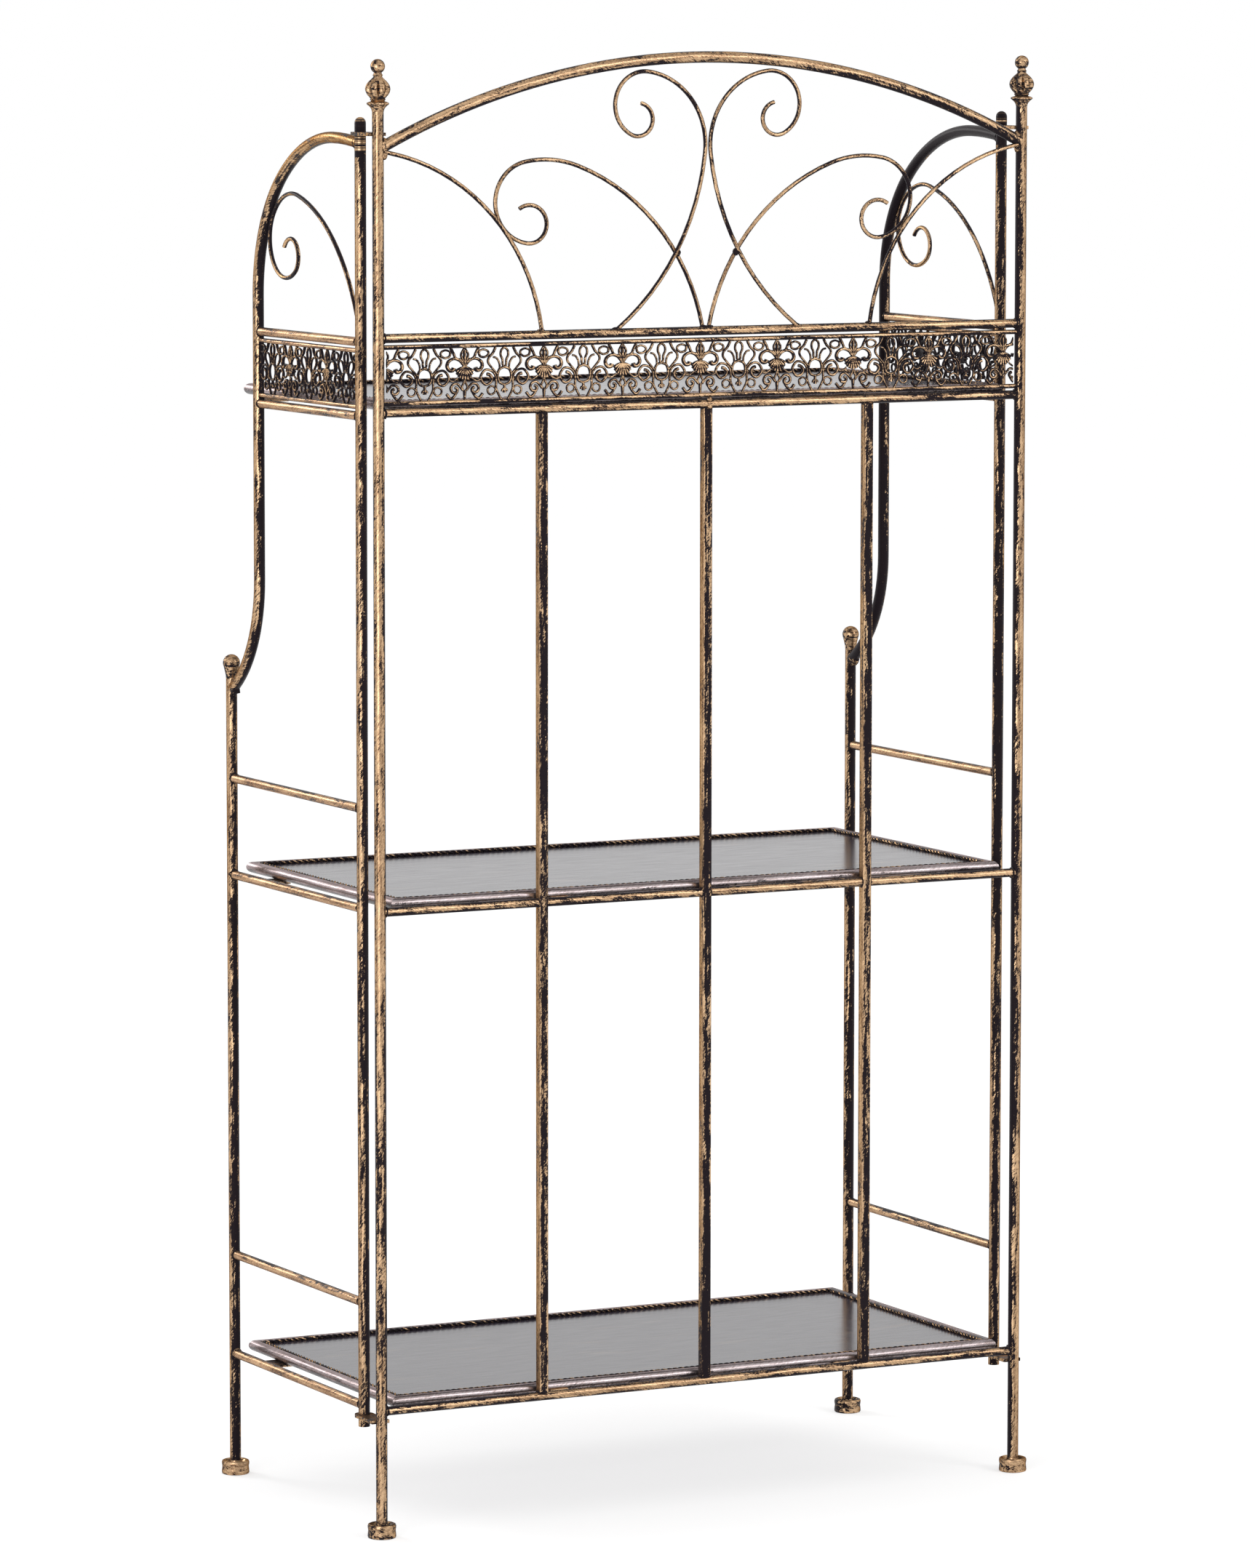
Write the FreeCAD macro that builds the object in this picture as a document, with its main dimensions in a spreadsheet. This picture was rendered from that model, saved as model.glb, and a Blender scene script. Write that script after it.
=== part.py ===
"""Folding bakers rack: a welded back frame, two hinged side frames and three fold-up trays.

Frame: millimetres, +Z up, +X to the right of someone in front of it, front at -Y.
The origin is on the floor under the middle of the four feet.
"""
import FreeCAD, Part
import math
import os
import Sketcher
from types import SimpleNamespace
from FreeCAD import Placement, Rotation, Vector

# (name, millimetres or degrees, what it is)
DIMENSIONS = [
    ("frame_width", 760, "back posts, centre to centre"),
    ("frame_depth", 372, "back posts to front posts, centre to centre"),
    ("pivot_offset", 42.5, "pivot posts ahead of the back posts"),
    ("post_dia", 12, "posts, arch, side hoops and tray tubes"),
    ("rail_dia", 9.5, "cross rails and guard bars"),
    ("rod_dia", 5, "rods that hold the filigree, and the rope trim"),
    ("wire_dia", 4.5, "scroll wire"),
    ("strap_size", 10, "square back straps"),
    ("strap_spacing", 193, "outer straps from the middle one"),
    ("back_post_top", 1482, "top of the back posts, under the finials"),
    ("arch_spring", 1446.5, "height at which the arch meets the posts"),
    ("arch_crown", 1536, "centre line of the arch at its top"),
    ("cope_gap", 0.05, "between a coped tube and the post that it meets"),
    ("pivot_bottom", 110.5, "lower end of the pivot posts"),
    ("pivot_top", 1474, "upper end of the pivot posts, below the dome"),
    ("front_post_top", 877, "top of the front posts, under the balls"),
    ("gallery_z", 1173.8, "lower gallery rail of the back"),
    ("mid_rail_z", 657.3, "middle rail of the back"),
    ("bottom_rail_z", 133.4, "bottom rail of the back"),
    ("gallery_height", 76.5, "lower gallery rail to the upper one"),
    ("side_gallery_drop", 5.3, "side gallery rails below the back ones"),
    ("cross_rail_drop", 0.8, "side cross rails below the back ones"),
    ("upper_guard_z", 761.1, "guard bar over the middle tray"),
    ("lower_guard_z", 241.6, "guard bar over the bottom tray"),
    ("rod_space", 2, "clear space between a gallery rail and its rod"),
    ("foot_dia", 30, "cup foot"),
    ("foot_height", 15, "cup foot"),
    ("foot_floor", 3, "thickness of the foot under the post"),
    ("foot_cup_dia", 22, "recess in the top of the foot"),
    ("foot_cup_depth", 3.5, "recess in the top of the foot"),
    ("foot_bevel", 1.5, "bevels of the foot's edges"),
    ("finial_flange_dia", 24, "flange under the bulb of the back finial"),
    ("finial_cone", 7, "cone from the post to the flange"),
    ("finial_flange", 3, "thickness of the flange"),
    ("bulb_seat", 3, "cove between the flange and the bulb"),
    ("bulb_neck_dia", 14, "ends of the bulb of the back finial"),
    ("bulb_height", 22, "bulb of the back finial"),
    ("bulb_arc", 12, "radius of the bulb's outline"),
    ("finial_shoulder", 2, "cove from the bulb to the neck"),
    ("finial_neck_dia", 8, "neck under the top ball"),
    ("finial_neck", 5, "neck under the top ball"),
    ("finial_ball_dia", 15, "top ball"),
    ("front_ball_dia", 16.5, "ball on a front post"),
    ("front_collar_dia", 10, "collar under that ball"),
    ("front_collar", 1, "collar under that ball"),
    ("plate_width", 20, "hinge plate"),
    ("plate_thickness", 3.5, "hinge plate"),
    ("plate_root", 2, "hinge plate's back edge ahead of the back post's centre"),
    ("upper_plate_z", 1459, "middle of the upper hinge plates"),
    ("lower_plate_z", 122, "middle of the lower hinge plates"),
    ("pin_clearance", 0.1, "pivot post in its hinge plate, on the radius"),
    ("leg_reach", 255.3, "side hoop's upright ahead of the pivot post"),
    ("hoop_top", 1453.7, "centre line of the side hoop at its top"),
    ("hoop_top_radius", 208, "bend over the top of the side hoop"),
    ("hoop_front_radius", 160, "bend at the front of the side hoop"),
    ("hoop_front_angle", 52, "sweep of the front bend"),
    ("offset_start", 997, "height at which the hoop bends towards the front post"),
    ("offset_radius", 80, "both bends of that offset"),
    ("offset_angle", 32, "slope of that offset from upright"),
    ("tray_width", 726, "over its tubes"),
    ("tray_front", 2, "tray beyond the front posts' centres"),
    ("tray_gap", 3.65, "clear space between a tray and the back rails"),
    ("tray_rise", 6, "tray tubes' centre above the rail that carries them"),
    ("panel_thickness", 1.2, "tray panel"),
    ("panel_rise", 2.5, "top of the panel above the tubes' centre"),
    ("lug_length", 30, "tray rest on a side frame"),
    ("lug_thickness", 3, "tray rest on a side frame"),
    ("lug_place", 300, "middle of the tray rests ahead of the back frame"),
    ("lug_reach", 6, "tray rest past the centre of the tray's side tube"),
    ("seat_gap", 0.3, "between a tray and what it rests or turns on"),
    ("hook_spacing", 170, "tray hooks from the middle"),
    ("hook_width", 20, "tray hook"),
    ("hook_thickness", 3, "tray hook"),
    ("pitch", 91.5, "one fleur and one crown of the filigree"),
    ("filigree_thickness", 2.4, "filigree strip"),
    ("filigree_end_gap", 3, "filigree strip short of the posts"),
    ("vine_width", 1.9, "strands of the filigree"),
]


class Size:
    """A number together with the sheet formula that gives it."""

    def __init__(self, number, formula):
        self.number = float(number)
        self.formula = formula

    def __float__(self):
        return self.number

    def _with(self, other, sign, number, turned=False):
        text = other.formula if isinstance(other, Size) else repr(float(other))
        pair = (text, self.formula) if turned else (self.formula, text)
        return Size(number, f"({pair[0]} {sign} {pair[1]})")

    def __add__(self, other):
        return self._with(other, "+", self.number + float(other))

    def __radd__(self, other):
        return self._with(other, "+", float(other) + self.number, turned=True)

    def __sub__(self, other):
        return self._with(other, "-", self.number - float(other))

    def __rsub__(self, other):
        return self._with(other, "-", float(other) - self.number, turned=True)

    def __mul__(self, other):
        return self._with(other, "*", self.number * float(other))

    def __rmul__(self, other):
        return self._with(other, "*", float(other) * self.number, turned=True)

    def __truediv__(self, other):
        return self._with(other, "/", self.number / float(other))

    def __neg__(self):
        return Size(-self.number, f"(0 - {self.formula})")


doc = FreeCAD.newDocument("bakers_rack")
sheet = doc.addObject("Spreadsheet::Sheet", "Dims")
dim = SimpleNamespace()
for row, (name, number, note) in enumerate(DIMENSIONS, start=1):
    sheet.set(f"A{row}", name)
    sheet.set(f"B{row}", str(number))
    sheet.set(f"C{row}", note)
    sheet.setAlias(f"B{row}", name)
    setattr(dim, name, Size(number, f"Dims.{name}"))
doc.recompute()

nodes = []
SIDES = (("left", -1), ("right", 1))

# Places and sizes that follow from the sheet
post_r = dim.post_dia / 2
rail_r = dim.rail_dia / 2
rod_r = dim.rod_dia / 2
wire_r = dim.wire_dia / 2
half_width = dim.frame_width / 2
back_y = dim.frame_depth / 2
front_y = -back_y
pivot_y = back_y - dim.pivot_offset
LEVELS = (("gallery", dim.gallery_z, dim.side_gallery_drop),
          ("middle", dim.mid_rail_z, dim.cross_rail_drop),
          ("bottom", dim.bottom_rail_z, dim.cross_rail_drop))


def bind(item, prop, size):
    """Tie one property of a document object to the sheet."""
    if isinstance(size, Size):
        item.setExpression(prop, size.formula)
    else:
        item.setExpression(prop, repr(float(size)))


def put(item, place):
    """Tie where an object stands to the sheet."""
    for axis, size in zip("xyz", place):
        bind(item, f".Placement.Base.{axis}", size)


def node(item, label):
    """Name a finished sub-part and keep it for export."""
    item.Label = label
    nodes.append(item)
    return item


# ---------------------------------------------------------------- straight stock
ALONG = {"x": Rotation(Vector(0, 1, 0), 90),
         "y": Rotation(Vector(1, 0, 0), -90),
         "z": Rotation()}


def bar(name, radius, length, start, along):
    """A round bar that starts at a point and runs along one axis."""
    item = doc.addObject("Part::Cylinder", name)
    item.Placement = Placement(Vector(), ALONG[along])
    bind(item, "Radius", radius)
    bind(item, "Height", length)
    put(item, start)
    return item


def block(name, lengths, corner):
    """A rectangular bar or sheet with its lowest corner at a point."""
    item = doc.addObject("Part::Box", name)
    for prop, size in zip(("Length", "Width", "Height"), lengths):
        bind(item, prop, size)
    put(item, corner)
    return item


def group(label, items):
    """Pieces of one kind, or of one post, kept together in one node."""
    item = doc.addObject("Part::Compound", label)
    item.Links = items
    return node(item, label)


# ---------------------------------------------------------------- sketched pieces
def draw(sketch, corners):
    """Draw a closed outline and tie its corners to the sheet.

    A corner is (x, y), or (x, y, radius, side) where the edge that leaves it is an arc whose
    centre lies to the left of the edge (side 1) or to its right (side -1).
    """
    points = [Vector(float(c[0]), float(c[1]), 0) for c in corners]
    edges = list(zip(corners, points, points[1:] + points[:1]))
    for corner, a, b in edges:
        sketch.addGeometry(edge_between(a, b, *corner[2:]))
    for i, (corner, a, b) in enumerate(edges):
        follows = (i + 1) % len(edges)
        starts = [start_of(corners[k]) for k in (i, follows)]
        sketch.addConstraint(
            Sketcher.Constraint("Coincident", i, 3 - starts[0], follows, starts[1]))
        if len(corner) > 2:
            held = sketch.addConstraint(Sketcher.Constraint("Radius", i, float(corner[2])))
            bind(sketch, f"Constraints[{held}]", corner[2])
        for kind, axis, size in (("DistanceX", -2, corner[0]), ("DistanceY", -1, corner[1])):
            if float(size) == 0:
                sketch.addConstraint(Sketcher.Constraint("PointOnObject", i, starts[0], axis))
            else:
                held = sketch.addConstraint(
                    Sketcher.Constraint(kind, -1, 1, i, starts[0], float(size)))
                bind(sketch, f"Constraints[{held}]", size)


def start_of(corner):
    """Which end of its edge a corner is: an arc's ends are counted anticlockwise."""
    return 2 if len(corner) > 2 and corner[3] < 0 else 1


def edge_between(a, b, radius=None, side=1):
    """A straight edge, or an arc of that radius with its centre on that side."""
    if radius is None:
        return Part.LineSegment(a, b)
    left = Vector(a.y - b.y, b.x - a.x, 0).normalize()
    sag = math.sqrt(max(float(radius) ** 2 - (b - a).Length ** 2 / 4, 0))
    centre = (a + b) * 0.5 + left * sag * side
    first, last = (a, b) if side > 0 else (b, a)
    angles = [math.atan2(p.y - centre.y, p.x - centre.x) for p in (first, last)]
    if angles[1] < angles[0]:
        angles[1] += 2 * math.pi
    circle = Part.Circle(centre, Vector(0, 0, 1), float(radius))
    return Part.ArcOfCircle(circle, *angles)


def body_with(name, role, corners):
    """A body and a closed sketch on one of its origin planes."""
    body = doc.addObject("PartDesign::Body", name)
    sketch = body.newObject("Sketcher::SketchObject", f"{name}_outline")
    plane = next(f for f in body.Origin.OriginFeatures if f.Role == role)
    sketch.AttachmentSupport = [(plane, "")]
    sketch.MapMode = "FlatFace"
    draw(sketch, corners)
    return body, sketch


def turned(name, outline, place):
    """A turned piece from its half outline of (radius, height)."""
    body, sketch = body_with(name, "XZ_Plane", outline)
    spin = body.newObject("PartDesign::Revolution", f"{name}_turn")
    spin.Profile = sketch
    spin.ReferenceAxis = (sketch, ["V_Axis"])
    spin.Angle = 360
    sketch.Visibility = False
    put(body, place)
    return body


def padded(name, role, outline, thickness, place):
    """A flat piece of even thickness, cut out on both sides of its origin plane."""
    body, sketch = body_with(name, role, outline)
    pad = body.newObject("PartDesign::Pad", f"{name}_pad")
    pad.Profile = sketch
    bind(pad, "Length", thickness)
    pad.Midplane = True
    sketch.Visibility = False
    put(body, place)
    return body, sketch


# ---------------------------------------------------------------- bent stock
def round_section(radius):
    """The cross-section of a tube, at a point and square to a direction."""
    return lambda at, along: Part.Face(Part.Wire(Part.makeCircle(radius, at, along)))


def wire_section(radius, sides=6):
    """The cross-section of scroll wire: few sides, because its bends are many."""
    def section(at, along):
        across = along.cross(Vector(0, 1, 0))
        corner_r = radius / math.cos(math.pi / sides)
        turns = [2 * math.pi * (k + 0.5) / sides for k in range(sides)]
        ring = [at + (across * math.cos(t) + Vector(0, 1, 0) * math.sin(t)) * corner_r
                for t in turns]
        return Part.Face(Part.makePolygon(ring + ring[:1]))
    return section


def bend(start, heading, moves, section):
    """Stock bent in the XZ plane: each move is (radius, degrees) or (length, None).

    The heading is in degrees from +X towards +Z, and a positive turn goes the same way.
    Returns the solid and the point where its centre line ends.
    """
    at = Vector(float(start[0]), 0, float(start[1]))
    runs = []
    for size, turn in moves:
        angle = math.radians(heading)
        along = Vector(math.cos(angle), 0, math.sin(angle))
        if turn is None:
            runs.append(section(at, along).extrude(along * size))
            at = at + along * size
            continue
        side = math.copysign(1, turn)
        centre = at + Vector(-along.z, 0, along.x) * size * side
        axis = Vector(0, -side, 0)
        runs.append(section(at, along).revolve(centre, axis, abs(turn)))
        at = centre + Rotation(axis, abs(turn)).multVec(at - centre)
        heading += turn
    if len(runs) == 1:
        return runs[0], at
    return runs[0].multiFuse(runs[1:]).removeSplitter(), at


def shaped(label, shape, placement=Placement()):
    """A piece whose shape was made directly, put in its place afterwards."""
    item = doc.addObject("Part::Feature", label)
    item.Shape = shape
    item.Placement = placement
    return node(item, label)


# ---------------------------------------------------------------- back frame
def back_frame():
    """Two posts under an arch, the rails between them and the straps down the back."""
    post_length = dim.back_post_top - dim.foot_floor
    feet, finials = [], []
    for side, sign in SIDES:
        x = half_width * sign
        post = bar(f"back_post_{side}", post_r, post_length, (x, back_y, dim.foot_floor), "z")
        node(post, f"back_post_{side}")
        feet.append(foot(f"back_foot_{side}", (x, back_y, 0)))
        finials.append(back_finial(f"back_finial_{side}", (x, back_y, dim.back_post_top)))
    group("back_feet", feet)
    group("back_finials", finials)
    arch()
    back_rails()


def foot(name, place):
    """A cup foot with a raised rim, bored for the post that stands in it."""
    outer = dim.foot_dia / 2
    bevel = dim.foot_bevel
    cup_floor = dim.foot_height - dim.foot_cup_depth
    return turned(name, [
        (0, 0), (outer - bevel, 0), (outer, bevel), (outer, cup_floor - bevel),
        (outer - bevel, dim.foot_height), (dim.foot_cup_dia / 2, dim.foot_height),
        (dim.foot_cup_dia / 2 - bevel, cup_floor), (post_r, cup_floor),
        (post_r, dim.foot_floor), (0, dim.foot_floor)], place)


def back_finial(name, place):
    """A flange, a bulb and a small ball on the top of a back post."""
    flange = dim.finial_flange_dia / 2
    flange_top = dim.finial_cone + dim.finial_flange
    bulb = dim.bulb_neck_dia / 2
    bulb_foot = flange_top + dim.bulb_seat
    bulb_top = bulb_foot + dim.bulb_height
    neck = dim.finial_neck_dia / 2
    ball = dim.finial_ball_dia / 2
    neck_top = bulb_top + dim.finial_neck
    dip = math.sqrt(float(ball) ** 2 - float(neck) ** 2)
    return turned(name, [
        (0, 0), (post_r, 0), (flange, dim.finial_cone), (flange, flange_top),
        (bulb, flange_top + dim.bulb_seat / 2), (bulb, bulb_foot, dim.bulb_arc, 1),
        (bulb, bulb_top), (neck, bulb_top + dim.finial_shoulder),
        (neck, neck_top, ball, 1), (0, neck_top + dip + ball)], place)


def arch():
    """The tube that springs from post to post, coped against both."""
    rise = float(dim.arch_crown - dim.arch_spring)
    half = float(half_width - post_r)
    radius = (half ** 2 + rise ** 2) / (2 * rise)
    sweep = 2 * math.degrees(math.asin(float(half_width) / radius))
    centre_z = float(dim.arch_crown) - radius
    start_z = centre_z + math.sqrt(radius ** 2 - float(half_width) ** 2)
    tube, _ = bend((-half_width, start_z), sweep / 2, [(radius, -sweep)],
                   round_section(float(post_r)))
    for _, sign in SIDES:
        post = Part.makeCylinder(float(post_r + dim.cope_gap), 4 * rise,
                                 Vector(float(half_width) * sign, 0, start_z - 2 * rise))
        tube = tube.cut(post)
    middle = max(tube.Solids, key=lambda solid: solid.Volume)
    shaped("top_arch", middle, Placement(Vector(0, float(back_y), 0), Rotation()))


def back_rails():
    """Gallery, middle and bottom rails, and the square straps that cross them."""
    inner = dim.frame_width - dim.post_dia
    left = -half_width + post_r
    upper_z = dim.gallery_z + dim.gallery_height
    for label, z in (("back_gallery_top_rail", upper_z),
                     ("back_gallery_bottom_rail", dim.gallery_z),
                     ("back_bottom_rail", dim.bottom_rail_z)):
        node(bar(label, rail_r, inner, (left, back_y, z), "x"), label)
    step = dim.rod_space + rail_r + rod_r
    group("back_gallery_rods", [
        bar("back_upper_rod", rod_r, inner, (left, back_y, upper_z - step), "x"),
        bar("back_lower_rod", rod_r, inner, (left, back_y, dim.gallery_z + step), "x")])
    half_strap = dim.strap_size / 2
    strap_foot = dim.bottom_rail_z + rail_r
    strap_length = dim.gallery_z - rail_r - strap_foot
    group("back_straps", [
        block(f"back_strap_{name}", (dim.strap_size, dim.strap_size, strap_length),
              (dim.strap_spacing * place - half_strap, back_y - half_strap, strap_foot))
        for name, place in (("left", -1), ("middle", 0), ("right", 1))])
    long_run = half_width - post_r - dim.strap_spacing - half_strap
    short_run = dim.strap_spacing - dim.strap_size
    runs = (("outer_left", left, long_run), ("inner_left", half_strap - dim.strap_spacing, short_run),
            ("inner_right", half_strap, short_run),
            ("outer_right", dim.strap_spacing + half_strap, long_run))
    group("back_middle_rail", [
        bar(f"middle_rail_{name}", rail_r, length, (start, back_y, dim.mid_rail_z), "x")
        for name, start, length in runs])


# Scroll wires: first point, heading and bends, for the side on the right
C_SCROLL = ((3.6, 78.6), [(229.7, -58.5), (114.5, -31), (42.7, -161), (19.8, -224)])
S_SCROLL = ((106.5, 142.6), [(267.1, -46.1), (77.2, -88.7), (34.6, -160.4), (17.3, -195)])
CORNER_CURVE = ((194, 82.6), [(218, -71)])
HOOP_SCROLL = ((8.1, 1258, 70), [(211, -56.9), (60.8, -66.8), (40.4, -161.4), (18.9, -204)])


def scroll(name, curve, foot_z, depth):
    """A pair of mirrored scroll wires that stand on the upper gallery rail."""
    (x, heading), bends = curve
    lift = float(wire_r) * abs(math.cos(math.radians(heading)))
    wire, end = bend((x, foot_z + lift), heading, bends, wire_section(float(wire_r)))
    mirrored = wire.mirror(Vector(), Vector(1, 0, 0))
    pair = Part.makeCompound([mirrored, wire])
    shaped(name, pair, Placement(Vector(0, float(back_y + depth), 0), Rotation()))
    return end


def back_scrolls():
    """The wires under the arch: the tall pair stands behind the other two pairs."""
    foot_z = float(dim.gallery_z + dim.gallery_height + rail_r)
    scroll("c_scrolls", C_SCROLL, foot_z, -wire_r)
    scroll("s_scrolls", S_SCROLL, foot_z, wire_r)
    scroll("corner_curves", CORNER_CURVE, foot_z, wire_r)


# ---------------------------------------------------------------- filigree
def strand(points, width):
    """The outline of a flat strand of even width along a line of points."""
    left, right = [], []
    for i, (x, z) in enumerate(points):
        before = points[max(i - 1, 0)]
        after = points[min(i + 1, len(points) - 1)]
        run, rise = after[0] - before[0], after[1] - before[1]
        scale = width / 2 / math.hypot(run, rise)
        left.append((x - rise * scale, z + run * scale))
        right.append((x + rise * scale, z - run * scale))
    return right + left[::-1]


def curl(centre, radius, start, sweep, width, steps):
    """The outline of a strand along part of a circle."""
    angles = [math.radians(start + sweep * k / steps) for k in range(steps + 1)]
    points = [(centre[0] + radius * math.cos(a), centre[1] + radius * math.sin(a))
              for a in angles]
    return strand(points, width)


def flat(outline, shift):
    """A flat face inside an outline, moved sideways; all such faces look the same way."""
    ring = [Vector(x + shift, 0, z) for x, z in outline]
    if sum(a.x * b.z - b.x * a.z for a, b in zip(ring, ring[1:] + ring[:1])) < 0:
        ring.reverse()
    return Part.Face(Part.makePolygon(ring + ring[:1]))


def merged(faces):
    """One face from overlapping flat faces, whose rims are the edges that one piece alone has."""
    owners = {}
    for piece in faces[0].multiFuse(faces[1:]).Faces:
        for edge in piece.Edges:
            owners.setdefault(edge.hashCode(), []).append(edge)
    rims = [Part.Wire(run) for run in
            Part.sortEdges([edges[0] for edges in owners.values() if len(edges) == 1])]
    pattern = Part.makeFace(rims, "Part::FaceMakerBullseye")
    return max(pattern.Faces, key=lambda face: face.Area)


def within(face, half, height):
    """What is left of a face inside the strip's own rectangle."""
    box = face.BoundBox
    if max(-box.XMin, box.XMax) <= half and box.ZMin >= 0 and box.ZMax <= height:
        return [face]
    return face.common(flat([(-half, 0), (half, 0), (half, height), (-half, height)], 0)).Faces


def fleur(height, width):
    """Half of a fleur: its stem, shell, leaf and the curls on one side."""
    return [
        [(0, 0), (0.9, 0), (2, 9.5), (3.2, 13), (0.8, 17), (0.8, 20.5), (0, 20.5)],
        [(0, 20), (5.5, 21), (9.6, 24.5), (10, 28), (6.8, 32), (1.6, 34),
         (3.8, 42), (4.8, 46), (1.2, height - 1.5), (1.2, height), (0, height)],
        curl((12, 34.5), 8, 195, -240, width, 6),
        curl((15.1, 31.4), 3.6, -45, -150, width, 3),
        strand([(8, 41.6), (12.4, 45.5), (15.8, height)], width),
        curl((20, 47), 5, 160, -320, width, 6),
        curl((11, 11.8), 5, -110, 290, width, 6),
        strand([(2.2, 10), (6.4, 12.5)], width),
        strand([(9.6, 7), (15, 1.6), (21, 5.6)], width),
    ]


def crown(height, width):
    """Half of a crown: its ring, prong and the horns and spiral on one side."""
    return [
        strand([(0, 15.2), (5, 17), (7.2, 23.5), (5, 30), (0, 31.8)], width),
        [(0, 31), (2.6, 36), (3.8, 41), (1, height), (0, height)],
        strand([(5, 30), (5.8, 36.5), (8.8, 41.4), (12.9, 43)], width),
        strand([(7, 24.7), (14.4, 32), (18.7, 37.6), (18, 42.4), (13.4, 47), (10.3, height)],
               width),
        curl((18.3, 22.6), 8.2, 215, -255, width, 6),
        curl((20.6, 20.7), 5.2, -40, -190, width, 3),
        strand([(26, 20.6), (31.6, 18.6), (39.4, 23.2)], width),
        strand([(11, 21), (9.8, 15.5), (8.8, 9.4), (4, 0)], width),
        curl((14.2, 8.6), 4.4, 180, 340, width, 6),
        [(0, 6), (2.6, 9), (1, 12), (1.2, 16), (0, 16)],
    ]


def filigree_strip(length, height, middle):
    """A pierced strip centred on x = 0, with a fleur or a crown in its middle."""
    half_pitch = float(dim.pitch) / 2
    width = float(dim.vine_width)
    thickness = float(dim.filigree_thickness)
    motifs = (fleur, crown) if middle == "fleur" else (crown, fleur)
    reach = int(length / half_pitch / 2) + 1
    faces = []
    for k in range(-reach, reach + 1):
        for outline in motifs[k % 2](height, width):
            for side in (outline, [(-x, z) for x, z in outline]):
                faces += within(flat(side, k * half_pitch), length / 2, height)
    strip = merged(faces).translated(Vector(0, -thickness / 2, 0))
    return strip.extrude(Vector(0, thickness, 0))


def filigree_height():
    """The clear height between a gallery's two rods."""
    return float(dim.gallery_height - (dim.rod_space + rail_r + rod_r) * 2 - dim.rod_dia)


def filigree_foot(rail_z):
    """The height of the top of a gallery's lower rod."""
    return float(rail_z + dim.rod_space + rail_r + dim.rod_dia)


def back_filigree():
    """The long strip between the back rods."""
    length = float(dim.frame_width - dim.post_dia - dim.filigree_end_gap * 2)
    strip = filigree_strip(length, filigree_height(), "fleur")
    shaped("back_filigree", strip,
           Placement(Vector(0, float(back_y), filigree_foot(dim.gallery_z)), Rotation()))


# ---------------------------------------------------------------- hinges and tray hooks
def hinge_plates():
    """Four tongues welded to the back posts, each bored for a pivot post."""
    half = dim.plate_width / 2
    hole = post_r + dim.pin_clearance
    notch = math.sqrt(float(post_r) ** 2 - float(dim.plate_root) ** 2)
    root = -dim.plate_root
    plates = []
    for side, sign in SIDES:
        for level, z in (("upper", dim.upper_plate_z), ("lower", dim.lower_plate_z)):
            name = f"{level}_plate_{side}"
            body, sketch = padded(name, "XY_Plane", [
                (-half, -dim.pivot_offset, half, 1), (0, -dim.pivot_offset - half, half, 1),
                (half, -dim.pivot_offset), (half, root),
                (notch, root, post_r, -1), (-notch, root), (-half, root)],
                dim.plate_thickness, (half_width * sign, back_y, z))
            ring = sketch.addGeometry(
                Part.Circle(Vector(0, -float(dim.pivot_offset), 0), Vector(0, 0, 1), float(hole)))
            held = sketch.addConstraint(Sketcher.Constraint("Radius", ring, float(hole)))
            bind(sketch, f"Constraints[{held}]", hole)
            sketch.addConstraint(Sketcher.Constraint("PointOnObject", ring, 3, -2))
            held = sketch.addConstraint(
                Sketcher.Constraint("DistanceY", -1, 1, ring, 3, -float(dim.pivot_offset)))
            bind(sketch, f"Constraints[{held}]", -dim.pivot_offset)
            plates.append(body)
    group("hinge_plates", plates)


def tray_hooks():
    """Cradles on the back rails in which the trays' rear tubes lie and turn."""
    inner = post_r + dim.seat_gap
    outer = inner + dim.hook_thickness
    lip, heel, root = math.radians(190), math.radians(350), math.radians(300)
    reach = post_r + dim.tray_gap
    tail_top = outer * math.sin(heel) - 2
    tail_foot = outer * math.sin(root)
    tray_y = back_y - rail_r - dim.tray_gap - post_r
    hooks = []
    for level, z, _ in LEVELS:
        for side, sign in SIDES:
            body, _ = padded(f"{level}_hook_{side}", "YZ_Plane", [
                (inner * math.cos(heel), inner * math.sin(heel)),
                (outer * math.cos(heel), outer * math.sin(heel)), (reach, tail_top),
                (reach, tail_foot), (outer * math.cos(root), tail_foot, outer, -1),
                (outer * math.cos(lip), outer * math.sin(lip)),
                (inner * math.cos(lip), inner * math.sin(lip), inner, 1)],
                dim.hook_width, (dim.hook_spacing * sign, tray_y, z + dim.tray_rise))
            hooks.append(body)
    group("tray_hooks", hooks)


# ---------------------------------------------------------------- side frames
FORWARD = Rotation(Vector(0, 0, 1), -90)
SCROLL_SHIFT = 2


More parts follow.
